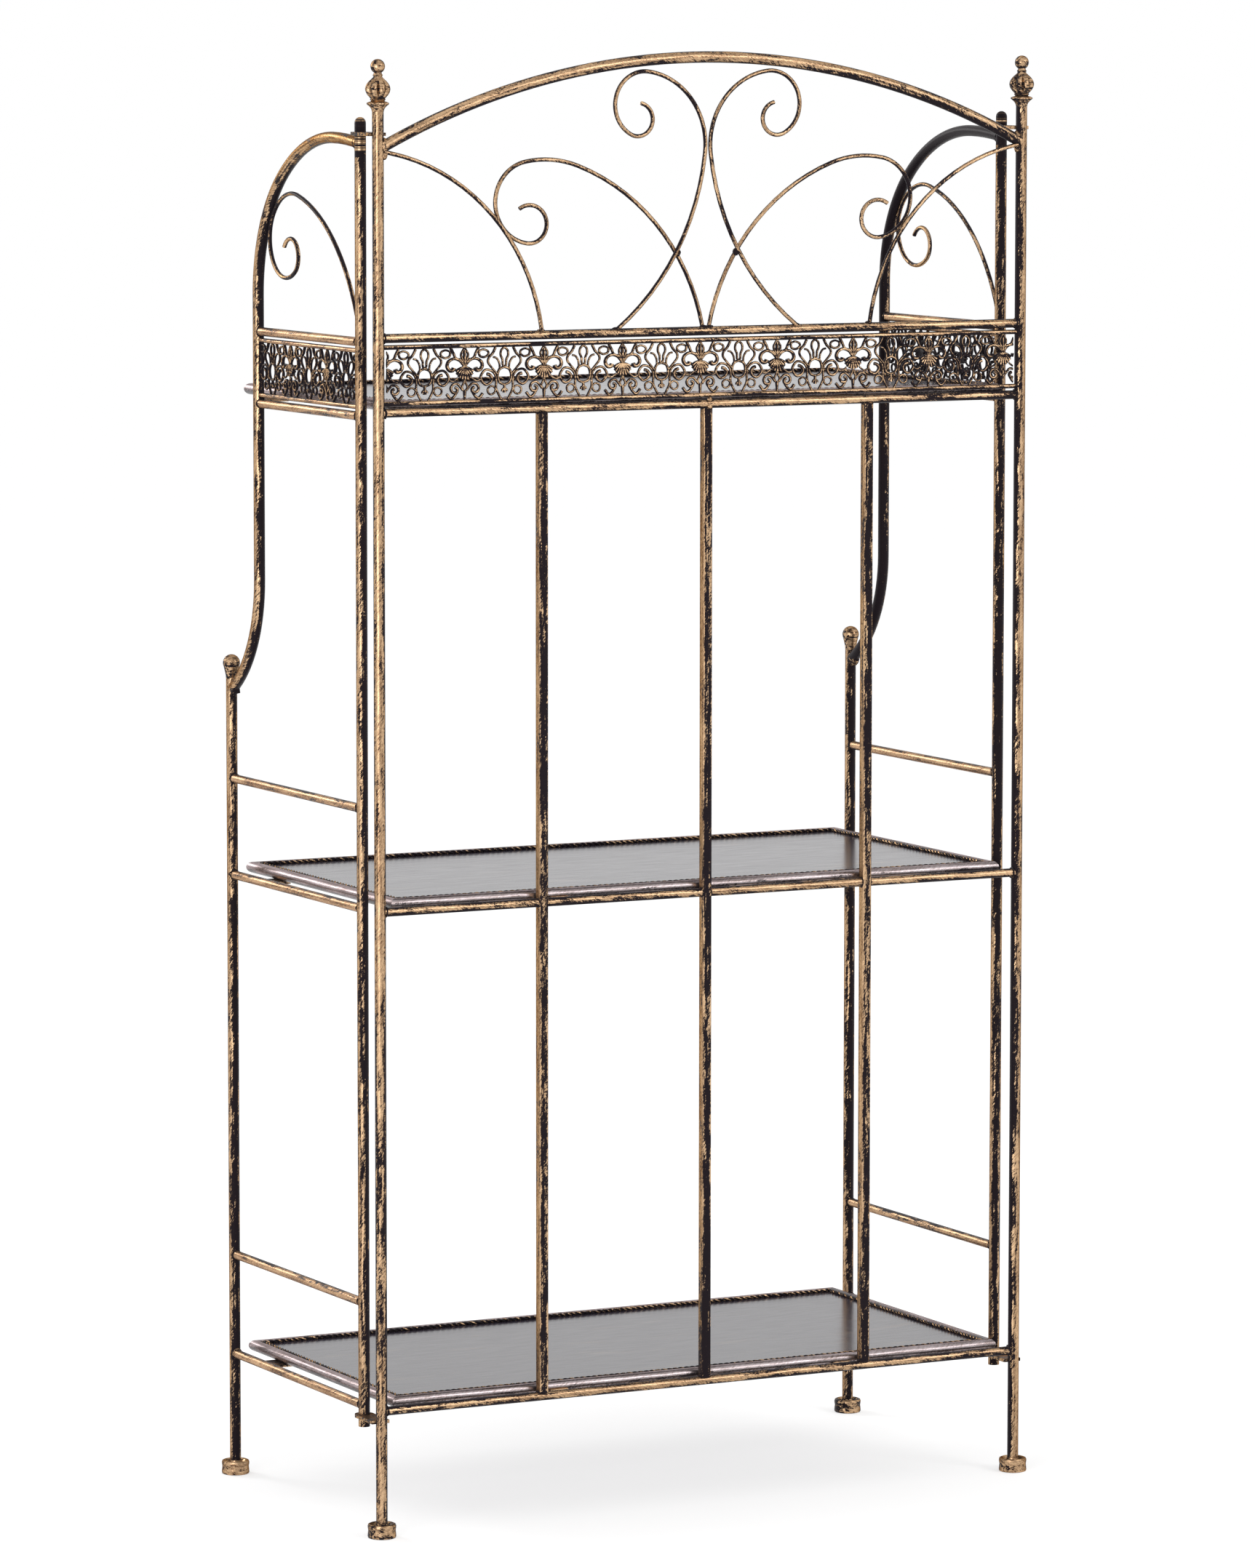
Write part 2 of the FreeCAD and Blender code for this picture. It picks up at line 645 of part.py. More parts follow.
def side_frame(side, sign):
    """One side frame: the pivot post, the hoop, the front post and all between them."""
    x = half_width * sign
    pivot_length = dim.pivot_top - dim.pivot_bottom
    shank = bar(f"{side}_pivot_shank", post_r, pivot_length, (x, pivot_y, dim.pivot_bottom), "z")
    dome = doc.addObject("Part::Sphere", f"{side}_pivot_dome")
    bind(dome, "Radius", post_r)
    dome.Angle1 = 0
    put(dome, (x, pivot_y, dim.pivot_top))
    post = doc.addObject("Part::Fuse", f"{side}_pivot_post")
    post.Base = shank
    post.Tool = dome
    node(post, f"{side}_pivot_post")
    front_length = dim.front_post_top - dim.foot_floor
    node(bar(f"{side}_front_post", post_r, front_length, (x, front_y, dim.foot_floor), "z"),
         f"{side}_front_post")
    group(f"{side}_front_post_ends", [
        foot(f"{side}_front_foot", (x, front_y, 0)),
        front_ball(f"{side}_front_ball", (x, front_y, dim.front_post_top))])
    hoop(side, sign)
    side_bars(side, sign)
    hoop_scroll(side, sign)
    tray_rests(side, sign)


def front_ball(name, place):
    """The ball on a front post, on a short collar."""
    ball = dim.front_ball_dia / 2
    collar = dim.front_collar_dia / 2
    dip = math.sqrt(float(ball) ** 2 - float(collar) ** 2)
    return turned(name, [
        (0, 0), (collar, 0), (collar, dim.front_collar, ball, 1),
        (0, dim.front_collar + dip + ball)], place)


def hoop(side, sign):
    """The tube that leaves the pivot post, goes over the gallery and down to the front post."""
    over, front = float(dim.hoop_top_radius), float(dim.hoop_front_radius)
    sweep = float(dim.hoop_front_angle)
    middle = float(dim.leg_reach) - front - (over - front) * math.cos(math.radians(sweep))
    rise = math.degrees(math.asin(middle / over))
    top_centre = float(dim.hoop_top) - over
    leg_top = top_centre + (over - front) * math.sin(math.radians(sweep))
    slope = math.radians(float(dim.offset_angle))
    turn = float(dim.offset_radius)
    shift = float(dim.frame_depth - dim.pivot_offset - dim.post_dia - dim.leg_reach)
    slant = (shift - 2 * turn * (1 - math.cos(slope))) / math.sin(slope)
    tube, _ = bend(
        (0, top_centre + over * math.cos(math.radians(rise))), rise,
        [(over, sweep - 90 - rise), (front, -sweep), (leg_top - float(dim.offset_start), None),
         (turn, float(dim.offset_angle)), (slant, None), (turn, -float(dim.offset_angle))],
        round_section(float(post_r)))
    post = Part.makeCylinder(float(post_r + dim.cope_gap), over,
                             Vector(0, 0, float(dim.hoop_top) - over))
    tube = max(tube.cut(post).Solids, key=lambda solid: solid.Volume)
    shaped(f"{side}_hoop", tube,
           Placement(Vector(float(half_width) * sign, float(pivot_y), 0), FORWARD))


def side_bars(side, sign):
    """Gallery rails and rods, their filigree, two guard bars and two cross rails."""
    x = half_width * sign
    near = dim.leg_reach - dim.post_dia
    far = dim.frame_depth - dim.pivot_offset - dim.post_dia
    gallery_z = dim.gallery_z - dim.side_gallery_drop
    upper_z = gallery_z + dim.gallery_height
    for name, z, length in (
            ("gallery_top_rail", upper_z, near), ("gallery_bottom_rail", gallery_z, near),
            ("upper_guard", dim.upper_guard_z, far),
            ("middle_cross_rail", dim.mid_rail_z - dim.cross_rail_drop, far),
            ("lower_guard", dim.lower_guard_z, far),
            ("bottom_cross_rail", dim.bottom_rail_z - dim.cross_rail_drop, far)):
        rail = bar(f"{side}_{name}", rail_r, length, (x, pivot_y - post_r - length, z), "y")
        node(rail, f"{side}_{name}")
    step = dim.rod_space + rail_r + rod_r
    group(f"{side}_gallery_rods", [
        bar(f"{side}_{name}_rod", rod_r, near, (x, pivot_y - post_r - near, z), "y")
        for name, z in (("upper", upper_z - step), ("lower", gallery_z + step))])
    length = float(near - dim.filigree_end_gap * 2)
    strip = filigree_strip(length, filigree_height(), "crown")
    middle_y = float(pivot_y - dim.leg_reach / 2)
    shaped(f"{side}_filigree", strip,
           Placement(Vector(float(x), middle_y, filigree_foot(gallery_z)), FORWARD))


def hoop_scroll(side, sign):
    """The wire that springs from the pivot post and curls up inside the hoop."""
    (x, z, heading), bends = HOOP_SCROLL
    wire, _ = bend((x, z), heading, bends, wire_section(float(wire_r)))
    place = Vector(float(half_width) * sign - SCROLL_SHIFT, float(pivot_y), 0)
    shaped(f"{side}_hoop_scroll", wire, Placement(place, FORWARD))


def tray_rests(side, sign):
    """Flat lugs on the inner side of the rails, one under the front of each tray."""
    inner = dim.tray_width / 2 - post_r - dim.lug_reach
    length = half_width - rail_r / 2 - inner
    lugs = []
    for level, z, drop in LEVELS:
        top = z + dim.tray_rise - post_r - dim.seat_gap
        start = inner if sign > 0 else -inner - length
        flat = block(f"{side}_{level}_lug_flat", (length, dim.lug_length, dim.lug_thickness),
                     (start, back_y - dim.lug_place - dim.lug_length / 2,
                      top - dim.lug_thickness))
        rail = bar(f"{side}_{level}_lug_cope", rail_r, dim.lug_length * 2,
                   (half_width * sign, back_y - dim.lug_place - dim.lug_length, z - drop), "y")
        leg = bar(f"{side}_{level}_lug_leg", post_r, dim.lug_length,
                  (half_width * sign, pivot_y - dim.leg_reach, top - dim.lug_length / 2), "z")
        lug = doc.addObject("Part::Cut", f"{side}_{level}_lug")
        lug.Base = flat
        lug.Tool = doc.addObject("Part::MultiFuse", f"{side}_{level}_lug_room")
        lug.Tool.Shapes = [rail, leg]
        lugs.append(lug)
    group(f"{side}_tray_rests", lugs)


# ---------------------------------------------------------------- trays
def mitred_ring(radius, width, depth):
    """Four round bars mitred into a rectangle; width and depth are between centre lines."""
    bars = []
    for length, across, turn in ((width, depth, 0), (depth, width, 90),
                                 (width, depth, 180), (depth, width, 270)):
        half = length / 2
        stock = Part.makeCylinder(radius, length + 2 * radius,
                                  Vector(-half - radius, -across / 2, 0), Vector(1, 0, 0))
        corners = [(-half - radius, -radius), (half + radius, -radius),
                   (half - radius, radius), (radius - half, radius)]
        ring = [Vector(x, y - across / 2, -radius) for x, y in corners]
        mitre = Part.Face(Part.makePolygon(ring + ring[:1])).extrude(Vector(0, 0, 2 * radius))
        piece = stock.common(mitre)
        piece.rotate(Vector(), Vector(0, 0, 1), turn)
        bars.append(piece)
    return Part.makeCompound(bars)


def tray(level, z):
    """One tray: a tube frame, a flat panel in it and a rope trim on the panel's edge."""
    width = dim.tray_width - dim.post_dia
    rear = back_y - rail_r - dim.tray_gap - post_r
    front = front_y - dim.tray_front + post_r
    depth = rear - front
    middle = (rear + front) / 2
    height = z + dim.tray_rise
    place = Vector(0, float(middle), float(height))
    shaped(f"{level}_tray_frame", mitred_ring(float(post_r), float(width), float(depth)),
           Placement(place, Rotation()))
    node(block(f"{level}_tray_panel",
               (width - dim.post_dia, depth - dim.post_dia, dim.panel_thickness),
               (-width / 2 + post_r, front + post_r, height + dim.panel_rise - dim.panel_thickness)),
         f"{level}_tray_panel")
    rope_z = float(dim.panel_rise + rod_r)
    apart = float(post_r + rod_r) + 0.05
    inset = math.sqrt(apart ** 2 - rope_z ** 2)
    rope = mitred_ring(float(rod_r), float(width) - 2 * inset, float(depth) - 2 * inset)
    shaped(f"{level}_tray_rope", rope, Placement(place + Vector(0, 0, rope_z), Rotation()))


def check_and_write():
    """Stop on any failed object, then write one STEP file for each node."""
    doc.recompute()
    for item in doc.Objects:
        if {"Invalid", "Error"} & set(item.State):
            raise RuntimeError(f"{item.Label}: {item.getStatusString()}")
    os.makedirs("parts", exist_ok=True)
    for item in nodes:
        if item.Shape.isNull() or not item.Shape.isValid() or not item.Shape.Solids:
            raise RuntimeError(f"{item.Label}: bad shape")
        item.Shape.exportStep(f"parts/{item.Label}.step")
        box = item.Shape.BoundBox
        print(f"{item.Label}: {len(item.Shape.Solids)} solids, "
              f"{box.XLength:.1f} x {box.YLength:.1f} x {box.ZLength:.1f}")


back_frame()
back_scrolls()
back_filigree()
hinge_plates()
tray_hooks()
for side, sign in SIDES:
    side_frame(side, sign)
for level, z, _ in LEVELS:
    tray(level, z)
check_and_write()
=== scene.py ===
"""Looks of the folding bakers rack: hand-rubbed tubes, scroll wires, cast filigree and trays."""
import logging
import math
from collections.abc import Callable
from dataclasses import dataclass, replace
from enum import Enum

import bmesh
import bpy
from mathutils import Matrix, Vector, noise


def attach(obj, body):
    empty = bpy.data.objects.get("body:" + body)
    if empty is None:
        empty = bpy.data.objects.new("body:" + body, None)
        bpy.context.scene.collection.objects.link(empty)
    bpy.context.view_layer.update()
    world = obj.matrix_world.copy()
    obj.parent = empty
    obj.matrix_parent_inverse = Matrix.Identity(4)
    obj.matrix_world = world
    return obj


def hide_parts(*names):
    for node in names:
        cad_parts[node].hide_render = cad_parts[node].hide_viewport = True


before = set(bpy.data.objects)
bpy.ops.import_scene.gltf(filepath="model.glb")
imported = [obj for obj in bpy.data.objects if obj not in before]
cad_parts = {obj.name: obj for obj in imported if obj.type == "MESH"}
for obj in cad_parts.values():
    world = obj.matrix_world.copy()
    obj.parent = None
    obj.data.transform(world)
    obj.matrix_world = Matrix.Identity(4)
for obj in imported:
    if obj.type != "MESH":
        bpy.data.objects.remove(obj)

LOG = logging.getLogger("bakers_rack")
STOCK = "stock"          # vertex attribute: where the vertex lies on the straight bar
FORWARD = Matrix.Rotation(math.radians(-90), 4, "Z")
SIDES = (("left", -1), ("right", 1))
TUBE_SIDES, RAIL_SIDES, ROD_SIDES, WIRE_SIDES = 24, 20, 14, 12     # corners of a section
Pair = tuple[float, float]
Triple = tuple[float, float, float]
Socket = bpy.types.NodeSocket
Mesh = bmesh.types.BMesh


# ------------------------------------------------------------------ sizes of the frame
@dataclass(frozen=True)
class RackSizes:
    """The sizes that the pieces share, in metres."""

    half_width: float = 0.380
    back_y: float = 0.186
    pivot_y: float = 0.1435
    post: float = 0.006
    rail: float = 0.00475
    rod: float = 0.0025
    wire: float = 0.00225
    strap: float = 0.010
    sink: float = 0.002
    strap_places: tuple[float, ...] = (-0.193, 0.0, 0.193)
    upper_rail_z: float = 1.2503
    lower_rail_z: float = 1.1738
    middle_rail_z: float = 0.6573
    bottom_rail_z: float = 0.1334
    arch_spring: float = 1.4465
    guards: Pair = (0.7611, 0.2416)
    leg_reach: float = 0.2553
    rod_step: float = 0.00925
    side_gallery_drop: float = 0.0053
    cross_rail_drop: float = 0.0008


SIZES = RackSizes()


# ------------------------------------------------------------------ finishes
class Coordinates(Enum):
    """Where a finish reads its pattern."""

    STOCK = "along the straight bar"
    OBJECT = "object coordinates"


class NodeTree:
    """A short way to add and join shader nodes."""

    def __init__(self, tree: bpy.types.NodeTree) -> None:
        """Keep the tree that nodes go to."""
        self.tree = tree

    def add(self, kind: str, **settings: object) -> bpy.types.Node:
        """Add a node.

        Args:
            kind: Blender's name of the node type.
            settings: properties of the node, or numbers for inputs named in_NUMBER.

        Returns:
            The new node.
        """
        node = self.tree.nodes.new(kind)
        for name, value in settings.items():
            if name.startswith("in_"):
                node.inputs[int(name[3:])].default_value = value
            else:
                setattr(node, name, value)
        return node

    def join(self, source: Socket, target: Socket) -> None:
        """Link one socket to another."""
        self.tree.links.new(source, target)

    def math(self, operation: str, *values: Socket | float, clamp: bool = False) -> Socket:
        """Add a Math node.

        Args:
            operation: its operation.
            values: a socket or a number for each of its inputs.
            clamp: whether the result is kept between 0 and 1.

        Returns:
            The result's socket.
        """
        node = self.add("ShaderNodeMath", operation=operation, use_clamp=clamp)
        for socket, value in zip(node.inputs, values):
            self.feed(socket, value)
        return node.outputs[0]

    def feed(self, socket: Socket, value: object) -> None:
        """Link a socket to an input, or set the input to a number or a colour.

        Args:
            socket: the input.
            value: a socket, a number or a colour.
        """
        if isinstance(value, Socket):
            self.join(value, socket)
        else:
            socket.default_value = value

    def weighted(self, parts: list[tuple[Socket, float]], start: Socket | float,
                 clamp: bool = False) -> Socket:
        """Add values up, each times its weight.

        Args:
            parts: the values and their weights.
            start: what they are added to.
            clamp: whether the result is kept between 0 and 1.

        Returns:
            The sum's socket.
        """
        total = start
        for value, weight in parts:
            total = self.math("MULTIPLY_ADD", value, weight, total)
        total.node.use_clamp = clamp
        return total

    def stretch(self, vector: Socket, scale: Triple, turn: Triple = (0, 0, 0)) -> Socket:
        """Scale and turn coordinates.

        Args:
            vector: the coordinates.
            scale: the factor along each axis.
            turn: degrees about each axis, applied after the scale.

        Returns:
            The socket of the new coordinates.
        """
        node = self.add("ShaderNodeMapping")
        node.inputs["Scale"].default_value = scale
        node.inputs["Rotation"].default_value = [math.radians(t) for t in turn]
        self.join(vector, node.inputs["Vector"])
        return node.outputs[0]

    def noise(self, vector: Socket, scale: Triple, detail: float = 2.0,
              rough: float = 0.5) -> Socket:
        """Add noise and spread its middle, NOISE_SPAN, over 0 to 1.

        Args:
            vector: the coordinates it reads.
            scale: its scale along each axis.
            detail: its octaves.
            rough: how strong the fine octaves are.

        Returns:
            The spread value's socket.
        """
        node = self.add("ShaderNodeTexNoise")
        node.inputs["Scale"].default_value = 1.0
        node.inputs["Detail"].default_value = detail
        node.inputs["Roughness"].default_value = rough
        self.join(self.stretch(vector, scale), node.inputs["Vector"])
        spread = self.add("ShaderNodeMapRange", in_1=NOISE_SPAN[0], in_2=NOISE_SPAN[1])
        self.join(node.outputs["Fac"], spread.inputs[0])
        return spread.outputs[0]

    def blend(self, factor: Socket, first: object, second: object) -> Socket:
        """Mix two colours.

        Args:
            factor: how much of the second there is.
            first: a colour, or the socket of one.
            second: a colour, or the socket of one.

        Returns:
            The mix's socket.
        """
        node = self.add("ShaderNodeMix", data_type="RGBA")
        self.join(factor, node.inputs["Factor"])
        self.feed(node.inputs[6], first)
        self.feed(node.inputs[7], second)
        return node.outputs[2]

    def relief(self, height: Socket, strength: float, depth: float) -> Socket:
        """Add a bump.

        Args:
            height: the height it reads.
            strength: how strongly it shows.
            depth: the depth of the marks.

        Returns:
            The normal's socket.
        """
        node = self.add("ShaderNodeBump")
        node.inputs["Strength"].default_value = strength
        node.inputs["Distance"].default_value = depth
        self.join(height, node.inputs["Height"])
        return node.outputs["Normal"]

    def seen(self) -> Socket:
        """Tell what the camera sees, also in a mirror or through glass.

        Returns:
            The socket of a value that is 1 where it sees the thing, and else 0.
        """
        path = self.add("ShaderNodeLightPath")
        total = self.math("ADD", path.outputs["Is Camera Ray"], path.outputs["Is Glossy Ray"])
        return self.math("ADD", total, path.outputs["Is Transmission Ray"], clamp=True)


def opaque(colour: Triple) -> tuple[float, ...]:
    """Give a colour its alpha of 1."""
    return (*colour, 1.0)


NOISE_SPAN = (0.30, 0.70)
BLACK_PAINT = (0.022, 0.017, 0.021)
GOLD_LIGHT = (0.640, 0.430, 0.255)
GOLD_DEEP = (0.125, 0.060, 0.030)
# Pale lilac-silver for the tray tubes' tops, a painted highlight, in a lighter and a deeper tone
TRAY_HIGHLIGHT_LIGHT = (0.480, 0.420, 0.430)
TRAY_HIGHLIGHT_DEEP = (0.170, 0.130, 0.120)
EDGE_TINT = (0.16, 0.10, 0.06)      # how gold darkens where it turns away
PALE_EDGE = (0.66, 0.58, 0.58)      # the same on bars with a worn, paler skin
COLOUR, VALUE, VECTOR = "NodeSocketColor", "NodeSocketFloat", "NodeSocketVector"


@dataclass(frozen=True)
class BrushMarks:
    """One layer of the marks that the brush and the cloth leave."""

    scale: Triple
    detail: float
    rough: float
    cover: float            # its weight in where the gold takes
    shade: float            # its weight in how light the gold is
    turn: Triple = (0, 0, 0)


BRUSH_MARKS = (
    BrushMarks((21, 330, 330), 2.0, 0.55, 0.54, 0.80),
    BrushMarks((60, 190, 190), 3.0, 0.60, 0.45, 0.0),
    BrushMarks((120, 680, 680), 2.0, 0.60, 0.38, 0.60, (0, 24, 28)),
    BrushMarks((1300, 1300, 1300), 1.0, 0.50, 0.22, 0.40),
)


@dataclass(frozen=True)
class Rubbing:
    """How hand-rubbed gold lies over black paint."""

    name: str = "hand_rubbing"
    drift_scale: Triple = (2.6, 14, 14)
    drift: float = 0.40
    takes_at: float = 1.425
    takes_sharply: float = 7.0
    shade_start: float = -0.37
    thickness: float = 0.4

    def build(self) -> None:
        """Build the group: Vector, Coverage, Light and Deep in; Color, Gold and Height out."""
        group = bpy.data.node_groups.new(self.name, "ShaderNodeTree")
        for label, kind in (("Vector", VECTOR), ("Coverage", VALUE), ("Light", COLOUR),
                            ("Deep", COLOUR)):
            group.interface.new_socket(label, in_out="INPUT", socket_type=kind)
        for label, kind in (("Color", COLOUR), ("Gold", VALUE), ("Height", VALUE)):
            group.interface.new_socket(label, in_out="OUTPUT", socket_type=kind)
        nodes = NodeTree(group)
        source = nodes.add("NodeGroupInput").outputs
        vector = source["Vector"]
        cover = [(nodes.noise(vector, self.drift_scale, 1.0), self.drift)]
        shade = []
        for marks in BRUSH_MARKS:
            place = nodes.stretch(vector, (1, 1, 1), marks.turn) if any(marks.turn) else vector
            layer = nodes.noise(place, marks.scale, marks.detail, marks.rough)
            cover.append((layer, marks.cover))
            if marks.shade:
                shade.append((layer, marks.shade))
        edge = nodes.math("SUBTRACT", nodes.weighted(cover, source["Coverage"]), self.takes_at)
        gold = nodes.math("MULTIPLY", edge, self.takes_sharply, clamp=True)
        tone = nodes.weighted(shade, self.shade_start, clamp=True)
        gilt = nodes.blend(tone, source["Deep"], source["Light"])
        target = nodes.add("NodeGroupOutput").inputs
        nodes.join(nodes.blend(gold, opaque(BLACK_PAINT), gilt), target["Color"])
        nodes.join(gold, target["Gold"])
        nodes.join(nodes.weighted([(gold, self.thickness)], tone), target["Height"])


RUBBING = Rubbing()


class Finish:
    """A finish, whose material is made once."""

    name: str

    def material(self) -> bpy.types.Material:
        """Make the material, or find it when it is there.

        Returns:
            The material.
        """
        made = bpy.data.materials.get(self.name)
        if made is None:
            made = bpy.data.materials.new(self.name)
            made.use_nodes = True
            shader = made.node_tree.nodes["Principled BSDF"]
            self.dress(NodeTree(made.node_tree), shader.inputs)
        return made

    def dress(self, nodes: NodeTree, shader: bpy.types.NodeInputs) -> None:
        """Set and feed the shader's inputs."""
        raise NotImplementedError


@dataclass(frozen=True)
class RubbedFinish(Finish):
    """Black paint with bronze-gold rubbed over it by hand, its gold partly turned to the lit side
    as painted light.
    """

    name: str
    coverage: float
    # lean, towards, both_faces and sharpness turn the gold to one side: partly real rubbing, partly
    # painted highlight on the lit faces and painted shade on the edges
    lean: float = 0.0
    towards: Triple = (0.0, 0.0, 1.0)
    both_faces: bool = False
    source: Coordinates = Coordinates.STOCK
    half_section: float = 0.006
    sharpness: float = 1.0
    roughness: Pair = (0.38, 0.33)
    metal: float = 0.92
    gloss: float = 0.14
    relief: Pair = (0.5, 0.00010)
    edge: Triple = EDGE_TINT
    light: Triple = GOLD_LIGHT
    deep: Triple = GOLD_DEEP

    def facing(self, mark: str, towards: Triple) -> "RubbedFinish":
        """Return the same finish with its gold turned to another side, partly rubbing and partly
        painted light.
        """
        return replace(self, name=f"{self.name}_{mark}", towards=towards)

    def dress(self, nodes: NodeTree, shader: bpy.types.NodeInputs) -> None:
        """Set and feed the shader's inputs.

        Args:
            nodes: the material's nodes.
            shader: the inputs of its shader.
        """
        shader["Specular IOR Level"].default_value = self.gloss
        shader["Specular Tint"].default_value = opaque(self.edge)
        if self.source is Coordinates.STOCK:
            vector = nodes.add("ShaderNodeAttribute", attribute_name=STOCK).outputs["Vector"]
        else:
            vector = nodes.add("ShaderNodeTexCoord").outputs["Object"]
        rub = nodes.add("ShaderNodeGroup", node_tree=bpy.data.node_groups[RUBBING.name])
        nodes.join(vector, rub.inputs["Vector"])
        rub.inputs["Light"].default_value = opaque(self.light)
        rub.inputs["Deep"].default_value = opaque(self.deep)
        cover = self.gold_to_hand_and_light(nodes, vector) if self.lean else self.coverage
        nodes.feed(rub.inputs["Coverage"], cover)
        nodes.join(rub.outputs["Color"], shader["Base Color"])
        gold = rub.outputs["Gold"]
        nodes.join(nodes.math("MULTIPLY", gold, self.metal), shader["Metallic"])
        spread = self.roughness[1] - self.roughness[0]
        nodes.join(nodes.weighted([(gold, spread)], self.roughness[0]), shader["Roughness"])
        nodes.join(nodes.relief(rub.outputs["Height"], *self.relief), shader["Normal"])

    def gold_to_hand_and_light(self, nodes: NodeTree, vector: Socket) -> Socket:
        """Give more gold to one side of a bar, or of a casting: partly where the cloth passed over,
        partly painted light that gilds the side seen lit and leaves the edges turning away black as
        painted shade.

        Args:
            nodes: the material's nodes.
            vector: the coordinates of the pattern.

        Returns:
            The socket of the coverage.
        """
        facing = nodes.add("ShaderNodeVectorMath", operation="DOT_PRODUCT")
        if self.source is Coordinates.STOCK:
            nodes.join(vector, facing.inputs[0])
            facing.inputs[1].default_value = [t / self.half_section for t in self.towards]
        else:
            nodes.join(nodes.add("ShaderNodeTexCoord").outputs["Normal"], facing.inputs[0])
            facing.inputs[1].default_value = self.towards
        turned = facing.outputs["Value"]
        if self.both_faces:
            turned = nodes.math("ABSOLUTE", turned)
        if self.sharpness != 1.0:
            turned = nodes.math("POWER", nodes.math("MAXIMUM", turned, 0.0), self.sharpness)
        return nodes.weighted([(turned, self.lean)], self.coverage)


@dataclass(frozen=True)
class PanelFinish(Finish):
    """Satin black sheet with a few faint bronze streaks left by the cloth."""

    name: str = "panel_satin"
    # its faint lilac cast is a painted reflection of the surroundings over satin black
    colour: Triple = (0.044, 0.036, 0.052)
    tint: Triple = (1.0, 0.955, 0.99)
    gloss: float = 0.52
    roughness: Pair = (0.17, 0.22)
    streak_scale: Triple = (7, 34, 34)
    streaks_from: float = 0.78
    streaks_sharply: float = 4.0
    streaks: float = 0.17
    grain_scale: Triple = (30, 220, 220)
    relief: Pair = (0.06, 0.0001)

    def dress(self, nodes: NodeTree, shader: bpy.types.NodeInputs) -> None:
        """Set and feed the shader's inputs.

        Args:
            nodes: the material's nodes.
            shader: the inputs of its shader.
        """
        shader["Specular IOR Level"].default_value = self.gloss
        shader["Specular Tint"].default_value = opaque(self.tint)
        vector = nodes.add("ShaderNodeTexCoord").outputs["Object"]
        streaks = nodes.noise(vector, self.streak_scale, 3.0, 0.6)
        thin = nodes.math("SUBTRACT", streaks, self.streaks_from)
        thin = nodes.math("MULTIPLY", thin, self.streaks_sharply, clamp=True)
        mask = nodes.math("MULTIPLY", thin, self.streaks)
        nodes.join(nodes.blend(mask, opaque(self.colour), opaque(GOLD_LIGHT)),
                   shader["Base Color"])
        grain = nodes.noise(vector, self.grain_scale)
        spread = self.roughness[1] - self.roughness[0]
        nodes.join(nodes.weighted([(grain, spread)], self.roughness[0]), shader["Roughness"])
        nodes.join(nodes.relief(grain, *self.relief), shader["Normal"])


@dataclass(frozen=True)
class FloorFinish(Finish):
    """Pale paper that looks white, apart from the shadow on it."""

    name: str = "floor_paper"
    colour: Triple = (0.82, 0.82, 0.82)
    glow: float = 0.59

    def dress(self, nodes: NodeTree, shader: bpy.types.NodeInputs) -> None:
        """Set and feed the shader's inputs.

        Args:
            nodes: the material's nodes.
            shader: the inputs of its shader.
        """
        shader["Base Color"].default_value = opaque(self.colour)
        shader["Roughness"].default_value = 1.0
        shader["Specular IOR Level"].default_value = 0.0
        shader["Emission Color"].default_value = (1, 1, 1, 1)
        nodes.join(nodes.math("MULTIPLY", nodes.seen(), self.glow), shader["Emission Strength"])


